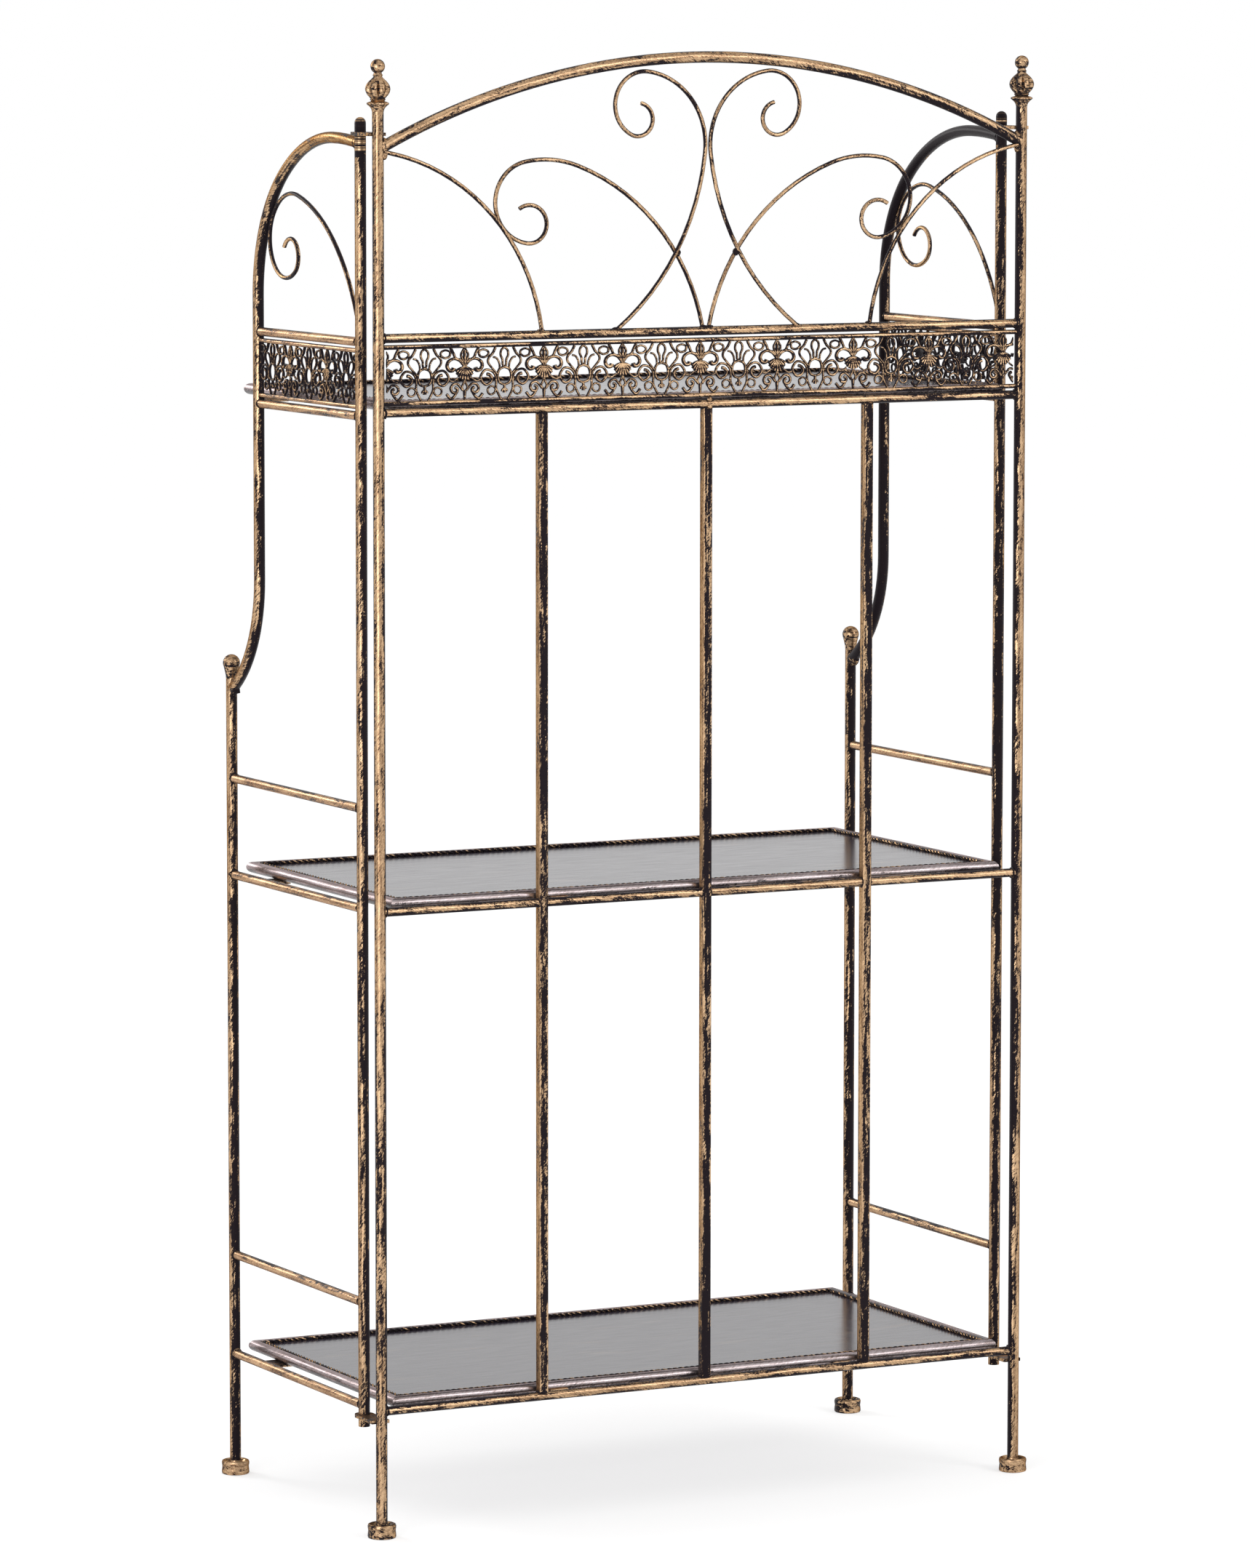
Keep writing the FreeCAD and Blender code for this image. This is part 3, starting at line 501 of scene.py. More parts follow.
class Finishes:
    """Every finish of the rack, by the pieces that wear it."""

    # The towards directions below gild the faces seen lit and leave the edges black: partly
    # rubbing, partly painted highlight and painted shade
    POST = RubbedFinish("post_bronze", 0.10, 0.62)
    SIDE_POST = RubbedFinish("side_post_bronze", 0.10, 0.60, both_faces=True, sharpness=1.5)
    ARCH = RubbedFinish("arch_bronze", 0.12, 0.62, (0.0, -0.25, 0.97), True, sharpness=1.8)
    HOOP = RubbedFinish("hoop_bronze", 0.24, 0.52)
    RAIL = RubbedFinish("rail_bronze", 0.06, 0.66, (0.0, -0.25, 0.97), True,
                        half_section=0.00475, sharpness=2.6)
    GUARD = RubbedFinish("guard_bronze", 0.26, 0.52, both_faces=True, half_section=0.00475,
                         edge=PALE_EDGE)
    ROD = RubbedFinish("rod_bronze", 0.04, 0.66, (0.0, -0.5, 0.87), True,
                       half_section=0.0025, sharpness=2.0)
    SIDE_ROD = RubbedFinish("side_rod_bronze", 0.08, 0.62, both_faces=True,
                            half_section=0.0025, edge=PALE_EDGE)
    # Wires: a thin gold crest between dark sides, partly a painted highlight
    WIRE = RubbedFinish("wire_bronze", 0.06, 0.70, (0.0, -0.3, 0.95), True,
                        half_section=0.00225, sharpness=2.2)
    HOOP_WIRE = RubbedFinish("hoop_wire_bronze", 0.06, 0.66, both_faces=True,
                             half_section=0.00225, sharpness=1.6)
    STRAP = RubbedFinish("strap_bronze", 0.24, 0.95, (0.0, 1.0, 0.0), True, sharpness=4.0)
    CASTING = RubbedFinish("casting_bronze", 0.40, 0.28, (0.0, 0.8, 0.6),
                           source=Coordinates.OBJECT)
    # Tray tubes: black paint with pale silver over the top and outer side as a painted highlight
    TRAY_TUBE = RubbedFinish("tray_tube_painted_highlight", 0.28, 0.70, (0.0, -0.80, -0.60),
                             roughness=(0.28, 0.30), gloss=0.8, edge=PALE_EDGE,
                             light=TRAY_HIGHLIGHT_LIGHT, deep=TRAY_HIGHLIGHT_DEEP)
    ROPE = RubbedFinish("rope_bronze", 0.24, 0.36, (0.0, 1.0, 0.0), half_section=0.0006)
    BACK_LACE = RubbedFinish("back_lace_bronze", -0.04, 0.72, (0.0, 1.0, 0.0), True,
                             Coordinates.OBJECT, sharpness=9.0)
    SIDE_LACE = RubbedFinish("side_lace_bronze", -0.02, 0.60, source=Coordinates.OBJECT,
                             sharpness=6.0)
    PLATE = RubbedFinish("plate_bronze", 0.56, source=Coordinates.OBJECT)
    WELD = RubbedFinish("weld_black", 0.18, source=Coordinates.OBJECT, roughness=(0.5, 0.5))
    GOLD_WELD = RubbedFinish("weld_gold", 0.62, source=Coordinates.OBJECT)
    PANEL = PanelFinish()


# ------------------------------------------------------------------ bars that grow ring by ring
class Stock:
    """A round bar grown in the plane y = 0 and then put in its place.

    Each vertex keeps where it lies on the straight bar, so that brush marks follow the bends.
    """

    def __init__(self, radius: float, sides: int, start: Pair, heading: float,
                 offset: float = 0.0, thickness: float = 1.0) -> None:
        """Make the first ring.

        Args:
            radius: the bar's radius.
            sides: corners of its section.
            start: x and z of the first centre.
            heading: degrees from +x towards +z.
            offset: shifts the pattern along the bar, so that two bars differ.
            thickness: the section's depth along y over its width.
        """
        self.bm = bmesh.new()
        self.layer = self.bm.verts.layers.float_vector.new(STOCK)
        self.at = Vector((start[0], 0.0, start[1]))
        self.heading = heading
        self.run = offset
        self.thickness = thickness
        self.begin(radius, sides)

    def begin(self, radius: float, sides: int) -> None:
        """Put a ring at the present place.

        Args:
            radius: its radius.
            sides: its corners.
        """
        ring = bmesh.ops.create_circle(self.bm, radius=radius, segments=sides)["verts"]
        for vert in ring:
            vert[self.layer] = Vector((self.run, vert.co.x, vert.co.y))
        bmesh.ops.scale(self.bm, vec=(1, self.thickness, 1), verts=ring)
        turn = Matrix.Rotation(math.radians(90 - self.heading), 4, "Y")
        bmesh.ops.transform(self.bm, matrix=Matrix.Translation(self.at) @ turn, verts=ring)
        self.edges = self.bm.edges[:]

    def grow(self, move: Matrix, length: float) -> None:
        """Extrude the last ring and move the new one.

        Args:
            move: where the ring goes from where it is.
            length: how much bar that uses.
        """
        grown = bmesh.ops.extrude_edge_only(self.bm, edges=self.edges)["geom"]
        ring = {item for item in grown if isinstance(item, bmesh.types.BMVert)}
        self.edges = [item for item in grown if isinstance(item, bmesh.types.BMEdge)
                      and ring.issuperset(item.verts)]
        bmesh.ops.transform(self.bm, matrix=move, verts=list(ring))
        self.run += length
        for vert in ring:
            place = vert[self.layer]
            vert[self.layer] = Vector((self.run, place.y, place.z))

    def straight(self, length: float, steps: int = 1) -> "Stock":
        """Run straight on.

        Args:
            length: how far.
            steps: how many rings that adds.

        Returns:
            The bar.
        """
        angle = math.radians(self.heading)
        step = Vector((math.cos(angle), 0, math.sin(angle))) * (length / steps)
        for _ in range(steps):
            self.grow(Matrix.Translation(step), length / steps)
            self.at = self.at + step
        return self

    def arc(self, radius: float, sweep: float, step: float = 4.0) -> "Stock":
        """Bend round an arc.

        Args:
            radius: radius of the centre line.
            sweep: degrees turned, positive from +x towards +z.
            step: most degrees between two rings.

        Returns:
            The bar.
        """
        angle = math.radians(self.heading)
        side = math.copysign(1, sweep)
        centre = self.at + Vector((-math.sin(angle), 0, math.cos(angle))) * radius * side
        steps = max(math.ceil(abs(sweep) / step), 1)
        part = math.radians(sweep / steps)
        turn = (Matrix.Translation(centre) @ Matrix.Rotation(-part, 4, "Y")
                @ Matrix.Translation(-centre))
        for _ in range(steps):
            self.grow(turn, abs(part) * radius)
            self.at = turn @ self.at
        self.heading += sweep
        return self

    def follow(self, path: list[Pair], widths: list[float]) -> "Stock":
        """Go through points, turning with them.

        Args:
            path: x and z of each ring's centre, the first at the present place.
            widths: radius at each point over the radius at the one before.

        Returns:
            The bar.
        """
        for i in range(1, len(path)):
            ahead = path[min(i + 1, len(path) - 1)]
            behind = path[i - 1]
            heading = math.degrees(math.atan2(ahead[1] - behind[1], ahead[0] - behind[0]))
            centre = Vector((path[i][0], 0, path[i][1]))
            turn = math.radians(heading - self.heading)
            move = (Matrix.Translation(centre) @ Matrix.Rotation(-turn, 4, "Y")
                    @ Matrix.Scale(widths[i], 4) @ Matrix.Translation(-self.at))
            self.grow(move, (centre - self.at).length)
            self.at, self.heading = centre, heading
        return self

    def closed(self) -> Mesh:
        """Cap both ends.

        Returns:
            The mesh.
        """
        bmesh.ops.holes_fill(self.bm, edges=[e for e in self.bm.edges if e.is_boundary],
                             sides=0)
        bmesh.ops.recalc_face_normals(self.bm, faces=self.bm.faces)
        return self.bm


def smooth_path(points: list[Pair], spans: int = 4) -> list[Pair]:
    """Round a line of points off.

    Args:
        points: the points it goes through.
        spans: pieces between two of them.

    Returns:
        The points of the rounded line.
    """
    ends = [points[0]] + list(points) + [points[-1]]
    line: list[Pair] = []
    for a, b, c, d in zip(ends, ends[1:], ends[2:], ends[3:]):
        for k in range(spans):
            t = k / spans
            line.append(tuple(
                0.5 * (2 * b[i] + (c[i] - a[i]) * t + (2 * a[i] - 5 * b[i] + 4 * c[i] - d[i])
                       * t ** 2 + (3 * b[i] - a[i] - 3 * c[i] + d[i]) * t ** 3)
                for i in (0, 1)))
    line.append(points[-1])
    return line


def gather(meshes: list[Mesh]) -> Mesh:
    """Join several meshes in one.

    Args:
        meshes: the meshes, which are freed, apart from the first.

    Returns:
        The first mesh with the others in it.
    """
    whole = meshes[0]
    for part in meshes[1:]:
        store = bpy.data.meshes.new("part")
        part.to_mesh(store)
        part.free()
        whole.from_mesh(store)
        bpy.data.meshes.remove(store)
    return whole


def moved(bm: Mesh, matrix: Matrix) -> Mesh:
    """Move a whole mesh and return it."""
    bmesh.ops.transform(bm, matrix=matrix, verts=bm.verts)
    return bm


def piece(name: str, bm: Mesh, finish: Finish, body: str,
          replaces: tuple[str, ...] = (), crease: float = 40.0) -> bpy.types.Object:
    """Make a finished piece from a mesh that is already in its place.

    Args:
        name: the piece's name.
        bm: its mesh, which is freed.
        finish: what it is painted with.
        body: the body that it moves with.
        replaces: the nodes that it stands for.
        crease: edges sharper than this many degrees stay sharp.

    Returns:
        The object.
    """
    for face in bm.faces:
        face.smooth = True
    for edge in bm.edges:
        if len(edge.link_faces) == 2:
            edge.smooth = edge.calc_face_angle(0.0) < math.radians(crease)
    mesh = bpy.data.meshes.new(name)
    bm.to_mesh(mesh)
    bm.free()
    item = bpy.data.objects.new(name, mesh)
    bpy.context.scene.collection.objects.link(item)
    item.data.materials.append(finish.material())
    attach(item, body)
    if replaces:
        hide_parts(*replaces)
    LOG.info("%s: %d faces", name, len(mesh.polygons))
    return item


# ------------------------------------------------------------------ common shapes
def straight_bar(radius: float, length: float, start: Triple, along: str,
                 offset: float, sides: int = RAIL_SIDES) -> Mesh:
    """Make a straight round bar along one axis.

    Args:
        radius: its radius.
        length: its length.
        start: the middle of its first end.
        along: the letter of the axis it runs along.
        offset: shift of its pattern.
        sides: corners of its section.

    Returns:
        The mesh.
    """
    heading = 90 if along == "z" else 0
    bm = Stock(radius, sides, (0, 0), heading, offset).straight(length, 4).closed()
    turn = Matrix.Rotation(math.radians(90), 4, "Z") if along == "y" else Matrix.Identity(4)
    return moved(bm, Matrix.Translation(Vector(start)) @ turn)


def turned_shape(profile: list[Pair], steps: int = 32) -> Mesh:
    """Turn a half outline round the z axis.

    Args:
        profile: radius and height of each point, from the bottom up.
        steps: faces round the axis.

    Returns:
        The mesh.
    """
    bm = bmesh.new()
    layer = bm.verts.layers.float_vector.new(STOCK)
    verts = [bm.verts.new((r, 0, z)) for r, z in profile]
    edges = [bm.edges.new(pair) for pair in zip(verts, verts[1:])]
    bmesh.ops.spin(bm, geom=verts + edges, cent=(0, 0, 0), axis=(0, 0, 1),
                   angle=math.radians(360), steps=steps, use_merge=True, use_duplicate=False)
    bmesh.ops.remove_doubles(bm, verts=bm.verts, dist=1e-6)
    bmesh.ops.recalc_face_normals(bm, faces=bm.faces)
    for vert in bm.verts:
        vert[layer] = Vector((vert.co.z, vert.co.x, vert.co.y))
    return bm


LUMP_PITCH, LUMP_HEIGHT = 1.9, 0.28


def weld_blob(place: Triple, size: Triple, seed: float) -> Mesh:
    """Make one lumpy weld bead.

    Args:
        place: its middle.
        size: its half sizes.
        seed: makes beads differ.

    Returns:
        The mesh.
    """
    bm = bmesh.new()
    bm.verts.layers.float_vector.new(STOCK)
    bmesh.ops.create_icosphere(bm, subdivisions=2, radius=1.0)
    for vert in bm.verts:
        lump = noise.noise(vert.co * LUMP_PITCH + Vector((seed, seed * 0.7, 0)))
        vert.co = vert.co * (1.0 + LUMP_HEIGHT * lump)
    bmesh.ops.scale(bm, vec=size, verts=bm.verts)
    return moved(bm, Matrix.Translation(Vector(place)))


# ------------------------------------------------------------------ back frame
@dataclass
class BackFrame:
    """The welded back: posts, feet, finials, arch, rails, rods and straps."""

    body: str = "back_frame"
    post_foot: float = 0.003
    post_top: float = 1.482
    arch_crown: float = 1.536
    arch_sink: float = 0.003
    arch_step: float = 1.2
    strap_edge: float = 0.0009
    flutes: int = 8
    bulb_foot: float = 0.0135
    bulb_height: float = 0.0210
    bulb_groove: float = 0.34
    flange: Pair = (0.003, 0.0095)
    flange_groove: float = 0.16
    tip_radius: float = 0.0075
    tip_height: float = 0.0463

    def build(self) -> None:
        """Build every piece of the back frame."""
        self.posts()
        self.feet()
        self.finials()
        self.arch()
        self.rails()
        self.straps()

    def posts(self) -> None:
        """Build the two back posts."""
        for side, sign in SIDES:
            start = (SIZES.half_width * sign, SIZES.back_y, self.post_foot)
            bm = straight_bar(SIZES.post, self.post_top - self.post_foot, start, "z",
                              3.7 * sign, TUBE_SIDES)
            finish = Finishes.POST.facing(side, (0.0, 0.5 * sign, 0.87))
            piece(f"back_post_skin_{side}", bm, finish, self.body,
                  (f"back_post_{side}",))

    def feet(self) -> None:
        """Build the two cup feet of the back."""
        cups = [moved(cup_foot(), Matrix.Translation((SIZES.half_width * sign, SIZES.back_y, 0)))
                for _, sign in SIDES]
        piece("back_feet_skin", gather(cups), Finishes.CASTING, self.body,
              ("back_feet",))

    def finials(self) -> None:
        """Build the flanged, fluted finials on the back posts."""
        items = [moved(self.finial(), Matrix.Translation(
            (SIZES.half_width * sign, SIZES.back_y, self.post_top))) for _, sign in SIDES]
        piece("back_finials_skin", gather(items), Finishes.CASTING, self.body,
              ("back_finials",))

    def finial(self) -> Mesh:
        """Turn one finial and press the grooves into its bulb and its petalled flange.

        Returns:
            The mesh, which stands on z = 0.
        """
        outline = [(0.0, 0.0), (0.0060, 0.0), (0.0064, 0.0015), (0.0074, 0.0035),
                   (0.0094, 0.0058), (0.0112, 0.0070), (0.0121, 0.0080), (0.0119, 0.0091),
                   (0.0098, 0.0099), (0.0076, 0.0106), (0.0069, 0.0112), (0.0078, 0.0119),
                   (0.0081, 0.0127), (0.0075, 0.0134)]
        bulb = [(0.0070 + 0.0074 * math.sin(math.pi * t) ** 0.8 - 0.0020 * t,
                 self.bulb_foot + self.bulb_height * t) for t in (k / 14 for k in range(1, 14))]
        neck = [(0.0050, 0.0350), (0.0046, 0.0362), (0.0053, 0.0374), (0.0043, 0.0386),
                (0.0040, 0.0400)]
        ball = [(self.tip_radius * math.cos(math.radians(a)),
                 self.tip_height + self.tip_radius * math.sin(math.radians(a)))
                for a in range(-54, 90, 12)]
        top = (0.0, self.tip_height + self.tip_radius)
        bm = turned_shape(outline + bulb + neck + ball + [top], 64)
        for vert in bm.verts:
            angle = math.atan2(vert.co.y, vert.co.x)
            lobe = abs(math.cos(angle * self.flutes / 2))
            height = (vert.co.z - self.bulb_foot) / self.bulb_height
            factor = 1.0
            if 0 < height < 1:
                depth = (1 - lobe) ** 1.5 * math.sin(math.pi * height) ** 0.5
                factor -= self.bulb_groove * depth
            elif self.flange[0] < vert.co.z < self.flange[1]:
                factor -= self.flange_groove * (1 - lobe)
            vert.co.x *= factor
            vert.co.y *= factor
        return bm

    def arch(self) -> None:
        """Build the arch between the posts."""
        rise = self.arch_crown - SIZES.arch_spring
        half = SIZES.half_width - SIZES.post
        radius = (half ** 2 + rise ** 2) / (2 * rise)
        end = SIZES.half_width - self.arch_sink
        reach = math.degrees(math.asin(end / radius))
        centre_z = self.arch_crown - radius
        start = (-end, centre_z + radius * math.cos(math.radians(reach)))
        bm = Stock(SIZES.post, TUBE_SIDES, start, reach, 11.3).arc(
            radius, -2 * reach, self.arch_step).closed()
        piece("top_arch_skin", moved(bm, Matrix.Translation((0, SIZES.back_y, 0))),
              Finishes.ARCH, self.body, ("top_arch",))

    def rails(self) -> None:
        """Build the gallery, middle and bottom rails and the two gallery rods."""
        left = -SIZES.half_width + SIZES.post - SIZES.sink
        length = -2 * left
        rows = (("back_gallery_top_rail", SIZES.upper_rail_z, SIZES.rail, 1.3),
                ("back_gallery_bottom_rail", SIZES.lower_rail_z, SIZES.rail, 4.1),
                ("back_middle_rail", SIZES.middle_rail_z, SIZES.rail, 6.9),
                ("back_bottom_rail", SIZES.bottom_rail_z, SIZES.rail, 8.2))
        for name, z, radius, offset in rows:
            bm = straight_bar(radius, length, (left, SIZES.back_y, z), "x", offset)
            piece(f"{name}_skin", bm, Finishes.RAIL, self.body, (name,))
        rods = [straight_bar(SIZES.rod, length, (left, SIZES.back_y, z), "x", z, ROD_SIDES)
                for z in (SIZES.upper_rail_z - SIZES.rod_step, SIZES.lower_rail_z + SIZES.rod_step)]
        piece("back_gallery_rods_skin", gather(rods), Finishes.ROD, self.body,
              ("back_gallery_rods",))

    def straps(self) -> None:
        """Build the three square straps down the back."""
        foot = SIZES.bottom_rail_z + SIZES.rail
        top = SIZES.lower_rail_z - SIZES.rail
        bars = []
        for index, x in enumerate(SIZES.strap_places):
            bm = bmesh.new()
            layer = bm.verts.layers.float_vector.new(STOCK)
            bmesh.ops.create_cube(bm, size=1.0)
            bmesh.ops.scale(bm, vec=(SIZES.strap, SIZES.strap, top - foot), verts=bm.verts)
            upright = [e for e in bm.edges if abs(e.verts[0].co.z - e.verts[1].co.z) > 0.1]
            bmesh.ops.bevel(bm, geom=upright, offset=self.strap_edge, segments=3,
                            affect="EDGES", profile=0.5, material=-1)
            moved(bm, Matrix.Translation((x, SIZES.back_y, (foot + top) / 2)))
            for vert in bm.verts:
                vert[layer] = Vector((vert.co.z + index * 2.3, vert.co.x - x,
                                      vert.co.y - SIZES.back_y))
            bars.append(bm)
        piece("back_straps_skin", gather(bars), Finishes.STRAP, self.body,
              ("back_straps",))


def cup_foot() -> Mesh:
    """Turn one cup foot with a raised, rounded rim.

    Returns:
        The mesh, which stands on z = 0.
    """
    outline = [(0.0, 0.0), (0.0134, 0.0), (0.0146, 0.0006), (0.0150, 0.0018), (0.0148, 0.0050),
               (0.0144, 0.0080), (0.0149, 0.0110), (0.0150, 0.0128), (0.0144, 0.0144),
               (0.0132, 0.0150), (0.0120, 0.0146), (0.0108, 0.0132), (0.0098, 0.0118),
               (0.0080, 0.0118), (0.0068, 0.0126), (0.0062, 0.0150), (0.0058, 0.0150)]
    return turned_shape(outline, 40)


# ------------------------------------------------------------------ scroll wires
@dataclass(frozen=True)
class Scroll:
    """A scroll wire of the back and its twin on the other side."""

    name: str
    foot: float                 # x of its lower end
    heading: float              # degrees from level there
    layer: int                  # 1 in front of the others, -1 behind them
    bends: tuple[Pair, ...]     # radius and degrees of each bend
    tip: float = 0.0            # straight length at its end


SCROLLS = (
    Scroll("c_scrolls", 0.0036, 78.6, -1,
           ((0.2297, -58.5), (0.1145, -31), (0.0427, -161), (0.0198, -224))),
    Scroll("s_scrolls", 0.1065, 142.6, 1,
           ((0.2671, -46.1), (0.0772, -88.7), (0.0346, -160.4), (0.0173, -195))),
    Scroll("corner_curves", 0.194, 82.6, 1, ((0.218, -71),), 0.008),
)


@dataclass
class Scrollwork:
    """The wires under the arch."""

    sink: float = 0.001

    def build(self) -> None:
        """Build every scroll wire."""
        foot = SIZES.upper_rail_z + SIZES.rail - self.sink
        for index, scroll in enumerate(SCROLLS):
            pair = []
            for sign in (-1, 1):
                wire = Stock(SIZES.wire, WIRE_SIDES, (scroll.foot, foot), scroll.heading,
                             index * 1.7 + sign)
                for radius, sweep in scroll.bends:
                    wire.arc(radius, sweep)
                if scroll.tip:
                    wire.straight(scroll.tip)
                bm = wire.closed()
                if sign < 0:
                    bmesh.ops.scale(bm, vec=(-1, 1, 1), verts=bm.verts)
                    bmesh.ops.reverse_faces(bm, faces=bm.faces)
                depth = SIZES.back_y + SIZES.wire * scroll.layer
                pair.append(moved(bm, Matrix.Translation((0, depth, 0))))
            piece(f"{scroll.name}_skin", gather(pair), Finishes.WIRE, "back_frame",
                  (scroll.name,))


# ------------------------------------------------------------------ side frames
@dataclass
class SideFrame:
    """One folding side: pivot post, hoop, front post, gallery, guards and cross rails."""

    side: str
    sign: int
    pivot_foot: float = 0.1105
    pivot_top: float = 1.470
    dome: tuple[float, ...] = (0, 20, 40, 60, 78)
    black_top: float = 0.036
    black_fade: float = 0.008
    rubbed: float = 0.004
    post_foot: float = 0.003
    front_post_top: float = 0.8685
    cone: float = 0.0085
    cone_height: float = 0.0134
    ball: float = 0.00925
    depth: float = 0.372
    hoop_start: float = 0.003
    hoop_top: float = 1.4537
    hoop_steps: Pair = (2.5, 3.0)
    rear: float = 0.450
    over: float = 0.208
    front: float = 0.160
    front_sweep: float = 52.0
    foot_bend_start: float = 0.980
    foot_bend: float = 0.140
    scroll_shift: float = 0.002
    scroll_foot: Pair = (0.0081, 1.258)
    scroll_heading: float = 70.0
    scroll_bends: tuple[Pair, ...] = ((0.211, -56.9), (0.0608, -66.8), (0.0404, -161.4),
                                      (0.0189, -204))

    @property
    def body(self) -> str:
        """The body that the frame is."""
        return f"{self.side}_side"

    @property
    def x(self) -> float:
        """Where the frame stands."""
        return SIZES.half_width * self.sign

    def build(self) -> None:
        """Build every piece of the side frame."""
        self.pivot_post()
        self.front_post()
        self.hoop()
        self.bars()
        self.scroll()

    def pivot_post(self) -> None:
        """Build the pivot post with its domed top."""
        bar = Stock(SIZES.post, TUBE_SIDES, (0, self.pivot_foot), 90, 5.5 * self.sign)
        bar.straight(self.pivot_top - self.pivot_foot - self.black_top, 6)
        bar.straight(self.black_fade).straight(self.black_top - self.black_fade, 2)
        path = [(0.0, self.pivot_top + SIZES.post * math.sin(math.radians(a)))
                for a in self.dome]
        sizes = [math.cos(math.radians(a)) for a in self.dome]
        bar.follow(path, [1.0] + [b / a for a, b in zip(sizes, sizes[1:])])
        bm = bar.closed()
        black_from = self.pivot_top - self.black_top + self.black_fade / 2
        gold_from = self.pivot_top + self.black_fade / 16
        for vert in bm.verts:
            if vert.co.z > black_from:
                rubbed = self.rubbed if vert.co.z > gold_from else -self.rubbed
                vert[bar.layer] = Vector((vert[bar.layer].x, rubbed * self.sign, 0.0))
        moved(bm, Matrix.Translation((self.x, SIZES.pivot_y, 0)))
        finish = Finishes.SIDE_POST.facing(f"pivot_{self.side}", (0.0, 0.94 * self.sign, 0.34))
        piece(f"{self.side}_pivot_post_skin", bm, finish, self.body,
              (f"{self.side}_pivot_post",))

    def front_post(self) -> None:
        """Build the front post, its foot and its ball."""
        y = -SIZES.back_y
        post = straight_bar(SIZES.post, self.front_post_top - self.post_foot,
                            (self.x, y, self.post_foot), "z", 7.9 * self.sign, TUBE_SIDES)
        finish = Finishes.SIDE_POST.facing(f"front_{self.side}", (0.0, self.sign, 0.0))
        piece(f"{self.side}_front_post_skin", post, finish, self.body,
              (f"{self.side}_front_post",))
        outline = [(0.0, 0.0), (SIZES.post, 0.0), (0.0063, 0.004), (self.cone, self.cone_height)]
        centre = self.cone_height + math.sqrt(self.ball ** 2 - self.cone ** 2)
        outline += [(self.ball * math.cos(math.radians(a)),
                     centre + self.ball * math.sin(math.radians(a))) for a in range(-20, 90, 10)]
        ball = moved(turned_shape(outline + [(0.0, centre + self.ball)], 32),
                     Matrix.Translation((self.x, y, self.front_post_top)))
        foot = moved(cup_foot(), Matrix.Translation((self.x, y, 0)))
        piece(f"{self.side}_front_ends_skin", gather([ball, foot]), Finishes.CASTING, self.body,
              (f"{self.side}_front_post_ends",))

    def hoop(self) -> None:
        """Build the hoop that runs from the pivot post down to the front post."""
        sweep = math.radians(self.front_sweep)
        middle = SIZES.leg_reach - self.front - (self.over - self.front) * math.cos(sweep)
        leg_top = self.hoop_top - self.over + (self.over - self.front) * math.sin(sweep)
        rise = math.degrees(math.asin((middle - self.hoop_start) / self.rear))
        drop = self.rear * (1 - math.cos(math.radians(rise)))
        shift = (self.depth - (SIZES.back_y - SIZES.pivot_y) - SIZES.leg_reach
                 - self.hoop_start)
        lean = math.degrees(math.acos(1 - shift / self.foot_bend))
        fine, coarse = self.hoop_steps
        bar = Stock(SIZES.post, TUBE_SIDES, (self.hoop_start, self.hoop_top - drop), rise,
                    9.1 * self.sign)
        bar.arc(self.rear, -rise, fine).arc(self.over, self.front_sweep - 90, fine)
        bar.arc(self.front, -self.front_sweep, coarse)
        bar.straight(leg_top - self.foot_bend_start, 2).arc(self.foot_bend, lean)
        bm = moved(bar.closed(), Matrix.Translation((self.x, SIZES.pivot_y, 0)) @ FORWARD)
        finish = Finishes.HOOP.facing(self.side, (0.0, -0.15, 0.98 * self.sign))
        piece(f"{self.side}_hoop_skin", bm, finish, self.body,
              (f"{self.side}_hoop",))

    def bars(self) -> None:
        """Build the gallery rails and rods, the guards and the cross rails."""
        inside = 2 * SIZES.sink - 2 * SIZES.post
        near = SIZES.leg_reach + inside
        far = self.depth - (SIZES.back_y - SIZES.pivot_y) + inside
        rail = SIZES.lower_rail_z - SIZES.side_gallery_drop
        top = SIZES.upper_rail_z - SIZES.side_gallery_drop
        rows = (("gallery_top_rail", top, near), ("gallery_bottom_rail", rail, near),
                ("upper_guard", SIZES.guards[0], far),
                ("middle_cross_rail", SIZES.middle_rail_z - SIZES.cross_rail_drop, far),
                ("lower_guard", SIZES.guards[1], far),
                ("bottom_cross_rail", SIZES.bottom_rail_z - SIZES.cross_rail_drop, far))
        end = SIZES.pivot_y - SIZES.post + SIZES.sink
        outward = (0.0, 0.0, -self.sign)
        finish = Finishes.GUARD.facing(self.side, outward)
        for index, (name, z, length) in enumerate(rows):
            bm = straight_bar(SIZES.rail, length, (self.x, end - length, z), "y",
                              self.sign * (index + 1) * 1.9)
            piece(f"{self.side}_{name}_skin", bm, finish, self.body,
                  (f"{self.side}_{name}",))
        rods = [straight_bar(SIZES.rod, near, (self.x, end - near, z), "y", z * self.sign,
                             ROD_SIDES) for z in (top - SIZES.rod_step, rail + SIZES.rod_step)]
        piece(f"{self.side}_gallery_rods_skin", gather(rods),
              Finishes.SIDE_ROD.facing(self.side, outward), self.body,
              (f"{self.side}_gallery_rods",))

